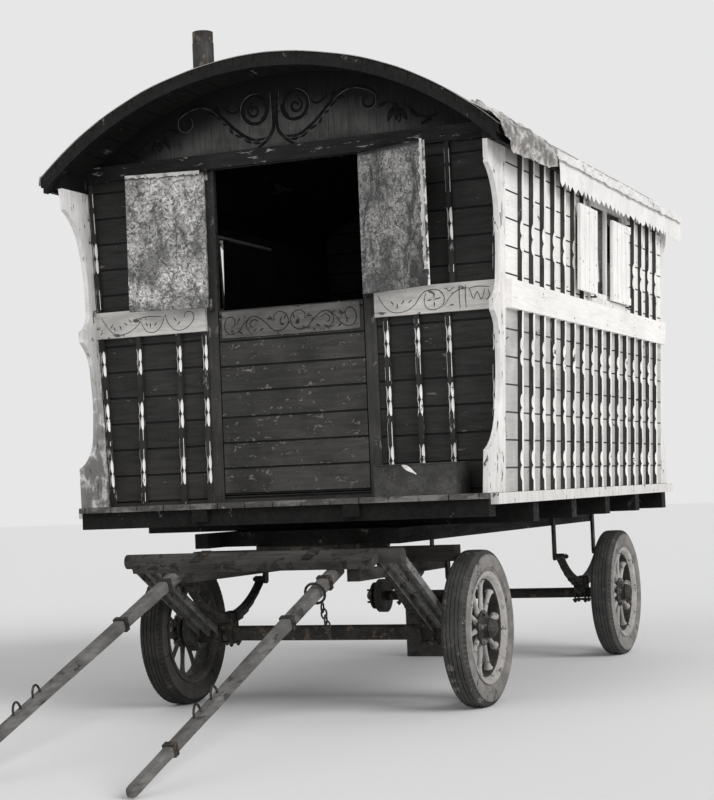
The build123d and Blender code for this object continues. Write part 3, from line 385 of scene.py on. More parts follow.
def papered(name, level, streak, edge):
    """A leaf papered with a small leafy print, crazed, faded and stained, in greys.

    level scales its brightness, streak is the share of its long dark stains, and edge is the
    place across where the paper's torn pale edge begins.
    """
    t = Tree(name)
    sprigs = t.noise(40.0, 6.0, 0.66, None, 2.0)
    petals = t.cells(54.0, t.stretch((1.0, 1.0, 0.7)))
    faded = t.noise(4.2, 6.0, 0.7)
    veins = t.cells(8.0, t.stretch((1.3, 1.0, 1.0)), "DISTANCE_TO_EDGE")
    wander = t.plus(veins, t.product(t.minus(sprigs, 0.5), 0.22))
    runs = t.noise(9.0, 5.0, 0.65, t.stretch((1.0, 1.0, 0.28)), 1.2)
    top = t.ramp(t.plus(t.axis("Z"), t.product(sprigs, 0.05)), 2.63, 2.65)
    torn = t.plus(t.math("ABSOLUTE", t.axis("X")), t.product(t.noise(24.0, 6.0, 0.68), 0.05))
    base = t.mix(t.ramp(sprigs, 0.36, 0.64), grey(0.36 * level), grey(0.8 * level, 0.01))
    for share, over in (
        (t.ramp(petals, 0.12, 0.34, 0.5, 0.0), grey(0.9 * level, 0.01)),
        (t.ramp(petals, 0.0, 0.08, 0.7, 0.0), grey(0.26)),
        (t.ramp(wander, 0.0, 0.06, 0.55, 0.0), grey(0.17)),
        (t.ramp(faded, 0.42, 0.6, 0.0, 0.72), grey(0.24)),
        (t.ramp(runs, 0.5, 0.64, 0.0, streak), grey(0.16)),
        (top, grey(0.12)),
        (t.ramp(torn, edge, edge + 0.003), grey(0.84, 0.01)),
    ):
        base = t.mix(share, base, over)
    height = t.plus(t.noise(7.0, 6.0, 0.7), t.product(sprigs, 0.4))
    t.finish(base, t.ramp(faded, 0.3, 0.7, 0.6, 0.9), height, 0.003)


def gable_boards():
    """Gable board: worn grey paint low in its middle, a painted shadow of the roof's overhang under the arch, and
    darker towards both sides.
    """
    t = Tree("gable_boards")
    x = t.axis("X")
    rise = t.minus(t.axis("Z"), ROOF_CENTRE)
    reach = t.math("SQRT", t.plus(t.product(x, x), t.product(rise, rise)))
    blotch = t.noise(6.0, 7.0, 0.68)
    # painted shadow of the roof's overhang, deepest just under the arch
    overhang_shadow = t.ramp(t.plus(reach, t.product(blotch, 0.16)), 1.55, 1.7)
    sides = t.ramp(t.math("ABSOLUTE", x), 0.75, 1.0)
    base = t.mix(t.ramp(blotch, 0.3, 0.7), grey(0.26, 0.01), grey(0.36, 0.01))
    fine = t.noise(70.0, 5.0, 0.6, t.stretch((1.0, 1.0, 0.12)))
    base = t.mix(t.ramp(fine, 0.4, 0.75, 0.0, 0.5), base, grey(0.12))
    # the painted shadow and the darkening towards both sides take the boards to near black
    base = t.mix(t.math("MAXIMUM", overhang_shadow, sides), base, grey(0.08))
    seams = t.lines(x, 0.03, 0.105, 0.0015)
    base = t.mix(t.product(seams, 0.5), base, grey(0.1))
    base = t.mix(back_face(t), base, grey(0.16))
    t.finish(base, t.ramp(fine, 0.2, 0.8, 0.5, 0.8), t.minus(fine, seams), 0.002)
    t.feed("Specular IOR Level", DULL)


def glazing():
    """Thin old glass with a little grime in it."""
    t = Tree("window_glass")
    grime = t.ramp(t.noise(9.0, 6.0, 0.7), 0.45, 0.8, 0.02, 0.4)
    t.finish((0.86, 0.9, 0.9), grime, t.noise(5.0, 2.0, 0.5), 0.0015)
    for name, value in (("Transmission Weight", 1.0), ("IOR", 1.45), ("Alpha", 0.15)):
        t.feed(name, value)


def make_finishes():
    """Makes every finish once, under the name that the pieces ask for."""
    for row in SURFACES:
        surface(*row)
    cloth("valance_cloth", grey(0.95, 0.01), grey(0.72, 0.03), spread=0.14)
    cloth("canvas_cloth", grey(0.8, 0.02), grey(0.12, 0.02), 700.0, 0.55, 0.41)
    cloth("edge_cloth", grey(0.92, 0.01), grey(0.14, 0.02), 700.0, 0.25, 0.54)
    cloth("curtain_cloth", grey(0.88, 0.01), grey(0.66, 0.02))
    cloth("dark_curtain", grey(0.2, 0.02), grey(0.12, 0.02))
    cloth("torn_paper", grey(0.86, 0.01), grey(0.3, 0.02), 1500.0, 0.35, 0.5)
    papered("papered_leaf_near", 0.84, 0.8, 0.812)
    papered("papered_leaf_far", 1.04, 0.3, 0.832)
    gable_boards()
    glazing()


# The nodes that stay, after the finish that they wear
NODE_FINISHES = {
    "floor_boards": "floor_deck",
    "flaking_white": "side_sills window_frames",
    "dark_frame": "underframe_rails cross_bearers turntable_bed",
    "white_boards": "side_wall_left side_wall_right",
    "rail_white": "side_waist_rails",
    "dark_boards": "front_wall",
    "gable_boards": "gable_front",
    "flaked_header": "header_front",
    "post_paint": "door_posts",
    "rail_cream": "end_waist_rails",
    "rear_boards": "rear_wall",
    "bracket_white": "porch_brackets",
    "shaded_roof_lining": "roof",
    "dark_trim": "roof_bows cornices",
    "pipe_iron": "chimney",
    "worn_tin": "porch_box",
    "shutter_white": "window_sashes shutter_left_front shutter_left_rear "
    "shutter_right_front shutter_right_rear",
    "window_glass": "window_panes",
    "weathered_beam": "prop_block forecarriage_beams",
    "cross_beam": "bolster shaft_roller crossbar",
    "pale_iron": "radius_channels",
    "door_boards": "half_door",
    "papered_leaf_near": "upper_leaf_left",
    "papered_leaf_far": "upper_leaf_right",
    IRON: "rear_springs rear_hangers rear_axle turntable_upper turntable_lower hinge_pins shutter_pins "
    "front_springs front_hangers front_axle shaft_irons bare_hub",
}


def paint_nodes():
    """Puts its finish in every material slot of each node that stays."""
    for finish, nodes in NODE_FINISHES.items():
        material = FINISHES[finish]
        for node in nodes.split():
            part = frame["nodes"][node]
            if not part.material_slots:
                part.data.materials.append(material)
            for holder in part.material_slots:
                holder.material = material


# Mesh building


def build(name, shells, body, finishes, replaces=(), sharp=40.0):
    """Joins shells into one piece. A shell is its points, its faces and a finish number for each."""
    points = np.concatenate([shell[0] for shell in shells])
    starts = np.cumsum([0] + [len(shell[0]) for shell in shells]).tolist()
    faces = [tuple(i + start for i in face) for shell, start in zip(shells, starts) for face in shell[1]]
    marks = np.concatenate([np.broadcast_to(shell[2], len(shell[1])) for shell in shells])
    mesh = bpy.data.meshes.new(name)
    mesh.from_pydata(points.tolist(), [], faces)
    for finish in finishes:
        mesh.materials.append(FINISHES[finish])
    mesh.polygons.foreach_set("material_index", marks.astype(np.int32))
    mesh.validate()
    piece = bpy.data.objects.new(name, mesh)
    bpy.context.scene.collection.objects.link(piece)
    shape = bmesh.new()
    shape.from_mesh(mesh)
    bmesh.ops.recalc_face_normals(shape, faces=shape.faces)
    shape.to_mesh(mesh)
    shape.free()
    mesh.shade_smooth()
    mesh.set_sharp_from_angle(angle=radians(sharp))
    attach(piece, body)
    if replaces:
        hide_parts(*replaces)
    return piece


def stacked(*parts):
    """Points, or flat places, from their coordinates, each spread over the whole grid."""
    return np.stack(np.broadcast_arrays(*parts), -1)


def circle(count):
    """Cosine and sine of equal steps round a circle."""
    angle = np.arange(count) * 2 * pi / count
    return stacked(np.cos(angle), np.sin(angle))


def unit(v):
    return v / np.linalg.norm(v, axis=-1, keepdims=True)


def skin(rows, columns, wrap_rows=False, wrap_columns=False):
    """Quads between neighbouring points of a grid of rows and columns, wrapped where asked."""
    i = np.arange(rows if wrap_rows else rows - 1)[:, None]
    j = np.arange(columns if wrap_columns else columns - 1)[None, :]
    down, right = (i + 1) % rows, (j + 1) % columns
    quads = np.stack([i * columns + j, i * columns + right, down * columns + right, down * columns + j], -1)
    return quads.reshape(-1, 4).tolist()


def sleeve(points, mark=0, joined=False):
    """A shell round a row of sections, joined end to end or closed by a flat face at each end."""
    n, m = points.shape[:2]
    ends = [] if joined else [list(range(m)), list(range((n - 1) * m, n * m))]
    return points.reshape(-1, 3), skin(n, m, joined, True) + ends, mark


def carried(path, across, outward, section, mark=0, joined=False):
    """A closed section carried along a path: point = path + u * across + v * outward.

    section holds u and v for each corner, once for the whole path or once for each of its points.
    """
    path, section = np.asarray(path, float)[:, None], np.asarray(section, float)
    across, outward = (np.broadcast_to(d, (len(path), 3))[:, None] for d in (across, outward))
    return sleeve(path + section[..., :1] * across + section[..., 1:] * outward, mark, joined)


def tube(path, radius, sides=8, joined=False, up=(0.0, 0.0, 1.0)):
    """A round bar along a path, its section square to the path."""
    path = np.asarray(path, float)
    run = unit(np.roll(path, -1, 0) - np.roll(path, 1, 0) if joined else np.gradient(path, axis=0))
    side = np.cross(run, up)
    weak = np.linalg.norm(side, axis=1) < 1e-3
    side[weak] = np.cross(run[weak], (0.0, 1.0, 0.0))
    side = unit(side)
    return carried(path, side, np.cross(run, side), radius * circle(sides), 0, joined)


def slab(corner, sizes, ease=0.0015):
    """A bar with eased edges, from its least corner by its sizes along X, Y and Z."""
    a, b, c = sizes
    e = min(ease, a / 3, b / 3, c / 3)
    ring = np.array([(e, 0), (a - e, 0), (a, e), (a, b - e), (a - e, b), (e, b), (0, b - e), (0, e)])
    centre = np.array([a / 2, b / 2])
    small = centre + (ring - centre) * (1 - e / min(a, b) * 1.6)
    path = np.add(corner, [(0, 0, step) for step in (0, e, c - e, c)])
    return carried(path, (1, 0, 0), (0, 1, 0), [small, ring, ring, small])


def turned(profile, centre, axis_dir, count, mark=0):
    """A closed profile of distance along an axis and radius, turned round that axis."""
    profile, axis_dir = np.asarray(profile, float), np.asarray(axis_dir, float)
    side = unit(np.cross(axis_dir, (0.0, 0.0, 1.0) if abs(axis_dir[2]) < 0.9 else (0.0, 1.0, 0.0)))
    arms = circle(count) @ np.stack([side, np.cross(axis_dir, side)])
    points = centre + profile[:, :1] * axis_dir + profile[:, 1:] * arms[:, None]
    return sleeve(points, mark, True)


def nut(centre, out, size=0.012, depth=0.009, mark=0):
    """A hexagon nut with a washer and a rounded bolt end."""
    thin = 0.0001
    washer = [(0, thin), (0, size * 1.35), (0.002, size * 1.35), (0.002, thin)]
    body = [(0.002, thin), (0.002, size), (depth, size), (depth + 0.001, size * 0.85), (depth + 0.001, thin)]
    end = [(depth, thin), (depth, size * 0.5), (depth + 0.005, size * 0.45), (depth + 0.006, thin)]
    return [turned(profile, centre, out, sides, mark) for profile, sides in ((washer, 12), (body, 6), (end, 8))]


def wall_point(side, along, rise, out):
    """A point of the leaning side wall from its place along, its place up the slope and outwards."""
    x = side * (FLOOR_HALF + rise * sin(LEAN) + out * cos(LEAN))
    return stacked(x, FRONT + along, FLOOR + rise * cos(LEAN) - out * sin(LEAN))


def lumps(u, v, seeds, scale):
    """A smooth random field: a sum of sine waves with seeded directions and phases."""
    draw = np.random.default_rng(seeds)
    total = np.zeros(np.broadcast_shapes(np.shape(u), np.shape(v)))
    for power in (1.0, 1.7, 2.9, 4.7):
        for _ in range(3):
            turn, phase = draw.uniform(0, 2 * pi, 2)
            total = total + np.sin(scale * power * (u * cos(turn) + v * sin(turn)) + phase) / power
    return total / 4


# Carved ribs


def rib(low, high, scoops, sizes, place, seed, pale_sides=False, sunk=0.0):
    """A square rib whose two long outer edges are scooped away in lens shapes.

    The scooped bevel at height v is cut * sqrt(1 - ((v - middle) / half length) ** 2).
    """
    half, depth = sizes.rib_width / 2, sizes.rib_depth - sunk
    turn = np.cos(np.linspace(0, pi, 11))
    rows = np.concatenate([np.linspace(low, high, 40)] + [(a + b) / 2 + (b - a) / 2 * turn for a, b in scoops])
    rows = np.unique(np.clip(np.round(rows, 5), low, high))
    bevel = 0.0016 + 0.0012 * lumps(rows * 14, 0, seed, 2.0)
    bevel[[0, -1]] = 0.0008
    for a, b in scoops:
        share = np.clip(1 - ((rows - (a + b) / 2) / ((b - a) / 2)) ** 2, 0, 1)
        bevel = np.maximum(bevel, sizes.scoop_cut * np.sqrt(share))
    across = stacked(-half, -half, bevel - half, half - bevel, half, half)
    out = stacked(0.0, depth - bevel, depth, depth, depth - bevel, 0.0)
    points, faces, _ = sleeve(place(across, rows[:, None], out))
    marks = np.zeros((len(rows) - 1, 6), int)
    scooped = (bevel[:-1] + bevel[1:]) / 2 > 0.0017
    marks[:, 1] = marks[:, 3] = 1 if pale_sides else scooped
    marks[:, 2] = pale_sides
    return points, faces, np.concatenate([marks.reshape(-1), [0, 0]])


SIDE_LOW_SCOOPS = [(1.727, 1.594), (1.465, 1.332), (1.203, 1.061)]
SIDE_HIGH_SCOOPS = [(2.276, 2.127)]
END_LOW_SCOOPS = [(1.79, 1.66), (1.525, 1.385), (1.246, 1.107)]
END_HIGH_SCOOPS = [(2.337, 2.184)]
# Places across the end walls, and whether the rib stands above the waist rail
FRONT_RIBS = [(-0.83, 0), (-0.605, 0), (-0.46, 0), (0.5, 0), (0.655, 0), (0.81, 0), (-0.84, 1), (0.84, 1)]
REAR_RIBS = [(x * s, 0) for x in (0.18, 0.36, 0.54, 0.72) for s in (1, -1)]
REAR_RIBS += [(x * s, 1) for x in (0.56, 0.74, 0.9) for s in (1, -1)]


def lens_pairs(pairs, slope=1.0, foot=0.0):
    """Each pair of a top and a bottom height as two lenses that meet in its middle, up a slope."""
    halves = []
    for top, bottom in pairs:
        low, middle, high = ((z - foot) / slope for z in (bottom, (top + bottom) / 2, top))
        halves += [(low, middle), (middle, high)]
    return halves


def make_ribs(sizes):
    slope = cos(LEAN)
    shells = []
    for side in (1, -1):
        for column in range(16):
            along = 0.19 + column * 0.174
            runs = [(0.0, WAIST[0], SIDE_LOW_SCOOPS)]
            if column < 7 or column > 11:
                runs.append((WAIST[1], WALL_RUN, SIDE_HIGH_SCOOPS))
            for low, high, pairs in runs:
                shells.append(
                    rib(low, high, lens_pairs(pairs, slope, FLOOR), sizes,
                        lambda a, v, o: wall_point(side, along + a, v, o), column, True)
                )
    build("carved_side_ribs", shells, "wagon", ["side_rib_shade", "rib_paint"], ["side_ribs"])
    shells = []
    for face, facing, table in ((FRONT, -1, FRONT_RIBS), (FRONT + BODY, 1, REAR_RIBS)):
        for x, upper in table:
            low, high = (RAIL_TOP, HEADER_LOW if facing < 0 else WALL_TOP) if upper else (FLOOR, RAIL_LOW)
            shells.append(
                rib(low, high, lens_pairs(END_HIGH_SCOOPS if upper else END_LOW_SCOOPS), sizes,
                    lambda a, v, o: stacked(x + a, face + facing * o, v), len(shells))
            )
    build("carved_end_ribs", shells, "wagon", ["rib_shade", "rib_paint"], ["end_ribs"])
    shells = []
    for side in (1, -1):
        lower, upper = (0.004, WAIST[0], END_LOW_SCOOPS), (WAIST[1], WALL_RUN + 0.05, END_HIGH_SCOOPS)
        for low, high, pairs in (lower, upper):
            def leaning(a, v, o):
                return stacked(side * (FLOOR_HALF - 0.043 + v * sin(LEAN)) + a, FRONT - o, FLOOR + v * slope)
            shells.append(
                rib(low, high, lens_pairs(pairs, slope, FLOOR), sizes, leaning, len(shells) + 40, False, 0.002)
            )
    build("carved_corner_ribs", shells, "wagon", ["rib_shade", "rib_paint"])


# Wheels


def wave(angle, count):
    """A zigzag from -1 to 1 with a number of teeth round the circle."""
    share = (angle * count / (2 * pi)) % 1
    return 1 - 4 * np.abs(share - 0.5)


# Half sections in millimetres: along the axle from the wheel's middle, and radius
TYRE_WALL = [
    (48.3, 252.4), (48.3, 266), (50.6, 272), (55, 280), (58.4, 286), (61.2, 288), (61.4, 291), (60.6, 294),
    (63.2, 304), (65.2, 315), (65.8, 324), (65.2, 333), (64.6, 335), (64.4, 338), (62.4, 343), (60.2, 347),
    (58, 351.5), (55, 357), (51.5, 362), (47.5, 366), (43, 368.2),
]
TYRE_TREAD = [
    (34, 369.3), (31.2, 369.4), (30.4, 363.5), (27.6, 363.5), (26.8, 369.6), (13.2, 370), (12.4, 364),
    (9.6, 364), (8.8, 370),
]
HALF_RIM = [
    (48.7, 252), (48.7, 262), (50.6, 266), (54, 267), (56.6, 265.4), (57, 262), (55, 257), (53.6, 250),
    (50, 243.5), (42, 238.5), (34, 232), (30, 226.5),
]
RIM = np.array([*HALF_RIM, (0, 225.5), *((-a, r) for a, r in HALF_RIM[::-1])]) / 1000
RIM_WELL = slice(10, 14)
HUB = np.array([
    (-88, 21), (-88, 99), (-86, 104), (-82, 105), (-46, 105), (-42, 104), (-40, 99), (-40, 62), (-36, 58),
    (-16, 56), (-14, 82), (-12, 84), (-2, 84), (0, 82), (0, 54), (3, 52), (17, 52), (20, 54), (20, 82),
    (22, 84), (28, 84), (30, 82), (31, 58), (34, 50), (38, 47), (56, 45.5), (60, 45), (62, 47), (65, 47),
    (67, 44.5), (74, 42), (82, 36.5), (88, 29), (93, 18), (95.3, 8), (95.8, 0.1), (3, 0.1), (3, 21),
]) / 1000
# A spoke in millimetres: radius from the axle, half its width round the wheel, half its width along the axle
SPOKE = np.array([
    (44, 20, 19), (56, 19, 18), (66, 16.5, 16), (80, 13.5, 14), (105, 11, 12.5), (135, 10, 11.5),
    (165, 10, 11.5), (190, 11.2, 12.5), (208, 14, 15), (218, 18, 19), (229, 24, 25),
]) / 1000
WHEELS = {"front_left": (1, FRONT_AXLE), "front_right": (-1, FRONT_AXLE), "rear_left": (1, REAR_AXLE)}


def tyre_shell(centre, side, teeth):
    """A tyre: its section turned round the axle, with zigzag grooves and notched shoulders.

    In the notches the shoulder's points move towards the tyre's inside; a groove's points
    move along the axle with the zigzag.
    """
    half = np.array(TYRE_WALL + TYRE_TREAD) / 1000
    section = np.concatenate([half, half[::-1] * (-1, 1)])
    notched, grooved, tread_face = np.zeros((3, len(half)))
    shoulder, tread = len(TYRE_WALL) - 5, len(TYRE_WALL)
    notched[shoulder : shoulder + 4] = (0.6, 1.0, 1.0, 0.5)
    grooved[[*range(tread + 1, tread + 5), *range(tread + 6, tread + 9)]] = 1
    tread_face[shoulder - 1 :] = 1
    notched, grooved, tread_face = (np.concatenate([n, n[::-1]]) for n in (notched, grooved, tread_face))
    count = teeth * 4
    step = np.arange(count)[:, None]
    angle = step * 2 * pi / count
    notch = (step % 4 >= 2) * notched
    a = section[:, 0] - notch * 0.006 * np.sign(section[:, 0]) + grooved * 0.0022 * wave(angle, teeth / 2)
    r = section[:, 1] - notch * 0.008
    points = stacked(centre[0] + side * a, centre[1] + r * np.cos(angle), centre[2] + r * np.sin(angle))
    return sleeve(points, np.tile(tread_face.astype(int), count), True)


def spoke_shell(centre, side, angle):
    """A cast spoke: an ellipse carried outwards, thin in the middle, flared into hub and rim."""
    r = SPOKE[:, :1]
    radial, tangent = np.array([(0, cos(angle), sin(angle)), (0, -sin(angle), cos(angle))])
    axle = np.array([side, 0, 0.0])
    lean_in = 0.010 - 0.006 * (r - r[0]) / (r[-1] - r[0])
    return carried(centre + r * radial + lean_in * axle, tangent, axle, circle(14) * SPOKE[:, None, 1:])


def make_wheels(sizes):
    for name, (side, along) in WHEELS.items():
        centre = np.array([side * HALF_TRACK, FRONT + along, AXLE_UP])
        body = f"{name}_wheel"
        paint, rubber, tread = "wheel_paint", "pale_sidewall_rubber", "dark_tread"
        # painted shade: the far front wheel wears the darker copies of its paint and rubber
        if name == "front_right":
            paint, rubber, tread = "shaded_far_wheel", "shaded_far_rubber", "shaded_far_tread"
        tyre = tyre_shell(centre, side, sizes.tread_teeth)
        build(f"dressed_tyre_{name}", [tyre], body, [rubber, tread], [f"tyre_{name}"], 50.0)
        out = np.array([side, 0.0, 0.0])
        # painted shade: the rim's inner well wears the dark hub iron, for the shadow seen between the spokes
        well = np.zeros(len(RIM), int)
        well[RIM_WELL] = 1
        shells = [turned(RIM, centre, out, 96, np.tile(well, 96)), turned(HUB, centre, out, 56, 1)]
        for number in range(sizes.spoke_count):
            shells.append(spoke_shell(centre, side, 0.16 + number * 2 * pi / sizes.spoke_count))
        for number in range(5):
            angle = 0.5 + number * 2 * pi / 5
            place = centre + (side * 0.03, 0.0675 * cos(angle), 0.0675 * sin(angle))
            shells += nut(place, out, 0.0125, 0.014, 2)
        finishes = [paint, "hub_iron_and_well_shade", "pale_iron"]
        build(f"spoked_wheel_{name}", shells, body, finishes, [f"wheel_{name}"], 45.0)


# Roof cloth


SIDES = ((1, "left"), (-1, "right"))


def roof_height(x):
    """Height of the barrel roof's outer face at a place across."""
    return ROOF_CENTRE + np.sqrt(np.maximum(ROOF_RADIUS**2 - np.asarray(x) ** 2, 0))


def sheet_piece(name, points, thickness, finish, uv, replaces=(), body="wagon"):
    """A cloth from a grid of points, given thickness by an offset copy joined round its edge.

    Each point of the back is the front point minus thickness times the surface normal.
    """
    rows, columns = points.shape[:2]
    normal = np.cross(np.gradient(points, axis=0), np.gradient(points, axis=1))
    normal = normal / np.maximum(np.linalg.norm(normal, axis=-1, keepdims=True), 1e-12)
    front_faces = np.array(skin(rows, columns))
    count = rows * columns
    index = np.arange(count).reshape(rows, columns)
    edge = np.concatenate([index[0, :-1], index[:-1, -1], index[-1, :0:-1], index[:0:-1, 0]])
    following = np.roll(edge, -1)
    rim = np.stack([edge, edge + count, following + count, following], -1)
    faces = np.concatenate([front_faces, front_faces[:, ::-1] + count, rim])
    both = np.concatenate([points, points - normal * thickness]).reshape(-1, 3)
    piece = build(name, [(both, faces.tolist(), 0)], body, [finish], replaces, 60.0)
    layer = piece.data.uv_layers.new(name="weave")
    corners = np.empty(len(piece.data.loops), np.int32)
    piece.data.loops.foreach_get("vertex_index", corners)
    places = np.concatenate([uv.reshape(-1, 2)] * 2)
    layer.data.foreach_set("uv", places[corners].reshape(-1).astype(np.float32))


def make_roof_cloth(sizes):
    """The roof skin, the pinked valances, the canvas flap and the torn strips along both edges."""
    half_angle = asin((ROOF_HALF + 0.001) / ROOF_RADIUS)
    turn = np.linspace(-half_angle, half_angle, 121)[:, None]
    along = np.linspace(ROOF_FRONT - 0.004, ROOF_REAR + 0.004, 181)
    radius = ROOF_RADIUS + 0.0045 + 0.0022 * lumps(turn * 7, along * 2.2, 5, 2.6)
    radius = radius + 0.0022 * np.abs(np.sin(along * 5.2 + 0.6 * np.sin(turn * 6))) ** 14
    points = stacked(radius * np.sin(turn), FRONT + along, ROOF_CENTRE + radius * np.cos(turn))
    uv = stacked(turn * ROOF_RADIUS, along)
    sheet_piece("roof_skin", points, 0.003, "roof_canvas", uv)

    top = float(roof_height(ROOF_HALF)) + 0.004
    front, teeth = 0.6, sizes.tooth_count
    length = ROOF_REAR - 0.02 - front
    u = np.linspace(0, 1, teeth * 12 + 1)[:, None]
    v = np.linspace(0, 1, 15)
    tooth = np.abs((u * teeth) % 1 - 0.5) * 2
    slant = 0.03 * np.clip(1 - u * length / 0.05, 0, 1)
    for side, name in SIDES:
        ragged = np.random.default_rng(60 + side).uniform(0.55, 1.25, teeth + 1)
        own = ragged[np.minimum((u * teeth).astype(int), teeth)]
        hem = sizes.valance_drop - 0.03 * tooth * own + 0.006 * lumps(u * 9, 0, 70 + side, 2.0)
        fold = 0.010 * np.sin(u * length * 15 + 1.4 * np.sin(u * 9))
        fold = fold + 0.006 * lumps(u * 18, v * 2, 80 + side, 1.6)
        x = side * (ROOF_HALF + 0.004 + 0.010 * v**0.5 + fold * v**1.3 * 0.55 - 0.014 * v)
        y = FRONT + front + u * length + slant * v + 0.004 * lumps(u * 30, v * 2, 90 + side, 1.0) * v
        sheet_piece(
            f"valance_cloth_{name}", stacked(x, y, top - v * hem), 0.0015, "valance_cloth",
            stacked(u * length, v * hem), ["valances"],
        )
    flap_drops = [
        (-0.318, 0.0), (-0.31, 0.02), (-0.27, 0.032), (-0.21, 0.06), (-0.136, 0.088), (0.115, 0.094),
        (0.416, 0.082), (0.5, 0.06), (0.545, 0.03),
    ]
    draped_edge("canvas_flap", 1, flap_drops, 0.14, 0.019, 33, (221, 41), "canvas_cloth")
    for (side, name), first in zip(SIDES, (0.52, -0.29)):
        drops = [(first, 0.012), (2.0, 0.02), (3.2, 0.014)]
        draped_edge(f"torn_edge_{name}", side, drops, 0.045, 0.008, 230 + side, (421, 21), "edge_cloth")


def draped_edge(name, side, drops, lap, rough, seed, grid, finish):
    """A crumpled strip of canvas that lies on the roof's edge and hangs over it.

    drops gives places along the wagon and how far the strip hangs there. Its first 60% lies on the
    roof, lifted square to it by the crumple, and the rest falls straight from the edge.
    """
    drops = np.array(drops)
    along = np.linspace(drops[0, 0], drops[-1, 0], grid[0])[:, None]
    drop = np.interp(along, drops[:, 0], drops[:, 1]) + 0.012 + 0.006 * lumps(along * 14, 0, seed, 2.0)
    share = np.linspace(0, 1, grid[1])
    over = np.clip(1 - share / 0.6, 0, 1) * (lap + 0.1 * lap * lumps(along * 22, 0, seed + 1, 2.0))
    fall = np.clip(share / 0.4 - 1.5, 0, 1) * drop
    coarse = np.abs(lumps(along * 16, share * 4.5, seed + 1, 2.0))
    fine = np.abs(lumps(along * 50, share * 12, seed + 3, 1.6))
    lift = 0.011 + rough * (coarse + 0.3 * fine)
    across = ROOF_HALF + 0.004 - over
    inside = np.minimum(across, ROOF_HALF)
    tilt = np.arcsin(inside / ROOF_RADIUS)
    hanging = np.clip(fall / 0.02, 0, 1)
    bulge = rough * lumps(along * 14, share * 4, seed + 4, 2.0) * fall / 0.1
    x = side * (across + lift * (np.sin(tilt) * (1 - hanging) + hanging) + bulge)
    y = FRONT + along + 0.006 * lumps(along * 12, share * 3, seed + 5, 1.5)
    z = roof_height(inside) + lift * np.cos(tilt) * (1 - hanging) - fall
    uv = stacked(along, fall - over)
    sheet_piece(name, stacked(x, y, z), 0.002, finish, uv)


def make_curtains(sizes):
    """A pale curtain gathered in the near window, a dark one drawn over the far one, on wires.

    Gathers: the cloth swings in and out of its hanging plane by reach * sin(2 pi * folds * share).
    """
    plane, top = 1.051, 2.515
    bend = [(1.078, 1.368), (1.058, 1.37), (plane + 0.002, 1.38), (plane, 1.4), (plane, 1.58)]
    bend += [(plane, 1.76), (plane, 1.94), (plane, 2.12), (plane + 0.002, 2.14), (1.058, 2.15), (1.078, 2.152)]
    for side, name, front, rear, low, folds, finish in (
        (1, "left", 1.42, 1.75, 2.13, 12, "curtain_cloth"),
        (-1, "right", 1.385, 2.135, 2.06, 21, "dark_curtain"),
    ):
        wire = tube([(side * x, FRONT + y, top) for x, y in bend], 0.0018)
        build(f"curtain_wire_{name}", [wire], "wagon", [IRON])
        u = np.linspace(0, 1, folds * 12 + 1)[:, None]
        v = np.linspace(0, 1, 25)
        swing = (0.005 + 0.007 * v) * np.sin(2 * pi * folds * u + 0.7 * lumps(u * 6, v * 2, 130 + side, 1.5))
        points = stacked(
            side * (plane + swing),
            FRONT + front + (rear - front) * u + 0.006 * v * lumps(u * 7, v * 3, 140 + side, 1.5),
            top - 0.004 - v * (top - low) + 0.006 * v * lumps(u * 8, 0, 150 + side, 2.0),
        )
        sheet_piece(
            f"curtain_{name}", points, 0.0012, finish,
            stacked(u * (rear - front) * 2, v * (top - low)),
        )


# Name, body, leaf, seed, then directions: start, run, inwards, normal
TORN_PAPER = (
    (
        "torn_paper_far", "right_leaf", "upper_leaf_right", 210,
        (-0.43, -0.067, 2.637), (-0.373, -0.077, 0.0), (0.0, 0.0, 1.0), (0.206, -0.979, 0.0),
    ),
    (
        "torn_paper_near", "left_leaf", "upper_leaf_left", 220,
        (0.787, -0.199, 2.637), (0.0, 0.0, -0.6), (0.94, -0.346, 0.0), (-0.346, -0.94, 0.0),
    ),
)


def make_torn_paper(sizes):
    """Crumpled paper edges, torn loose along the far leaf's head and the near leaf's outer edge.

    Each strip lies on its leaf's face: place = start + share * run - depth * inwards + lift * normal.
    """
    share = np.linspace(0, 1, 121)[:, None]
    across = np.linspace(0, 1, 13)
    for name, body, leaf, seed, *directions in TORN_PAPER:
        start, run, inwards, normal = np.array(directions)
        coarse, fine = np.abs(lumps(share * 16, 0, seed, 2.0)), lumps(share * 70, 0, seed + 1, 2.0)
        depth = across * np.maximum(0.014 + 0.013 * coarse + 0.004 * fine, 0.006)
        lift = 0.0022 + (0.003 + 0.004 * across) * np.abs(lumps(share * 22, across * 2.5, seed + 2, 1.8))
        points = start + share[..., None] * run - depth[..., None] * inwards + lift[..., None] * normal
        sheet_piece(
            name, points + (0, FRONT, 0), 0.0008, "torn_paper",
            stacked(share * 0.5, depth), (), body,
        )


# Scrollwork


def smooth_line(points, count=8):
    """A Catmull-Rom curve through points, with count steps from each to the next."""
    p = np.asarray(points, float)
    p = np.concatenate([2 * p[:1] - p[1:2], p, 2 * p[-1:] - p[-2:-1]])
    t = np.linspace(0, 1, count, endpoint=False)[None, :, None]
    a, b, c, d = p[:-3, None], p[1:-2, None], p[2:-1, None], p[3:, None]
    square, cube = a - 2.5 * b + 2 * c - d / 2, 1.5 * b - a / 2 - 1.5 * c + d / 2
    line = b + (c - a) * t / 2 + square * t**2 + cube * t**3
    return np.concatenate([line.reshape(-1, 2), p[-2:-1]])


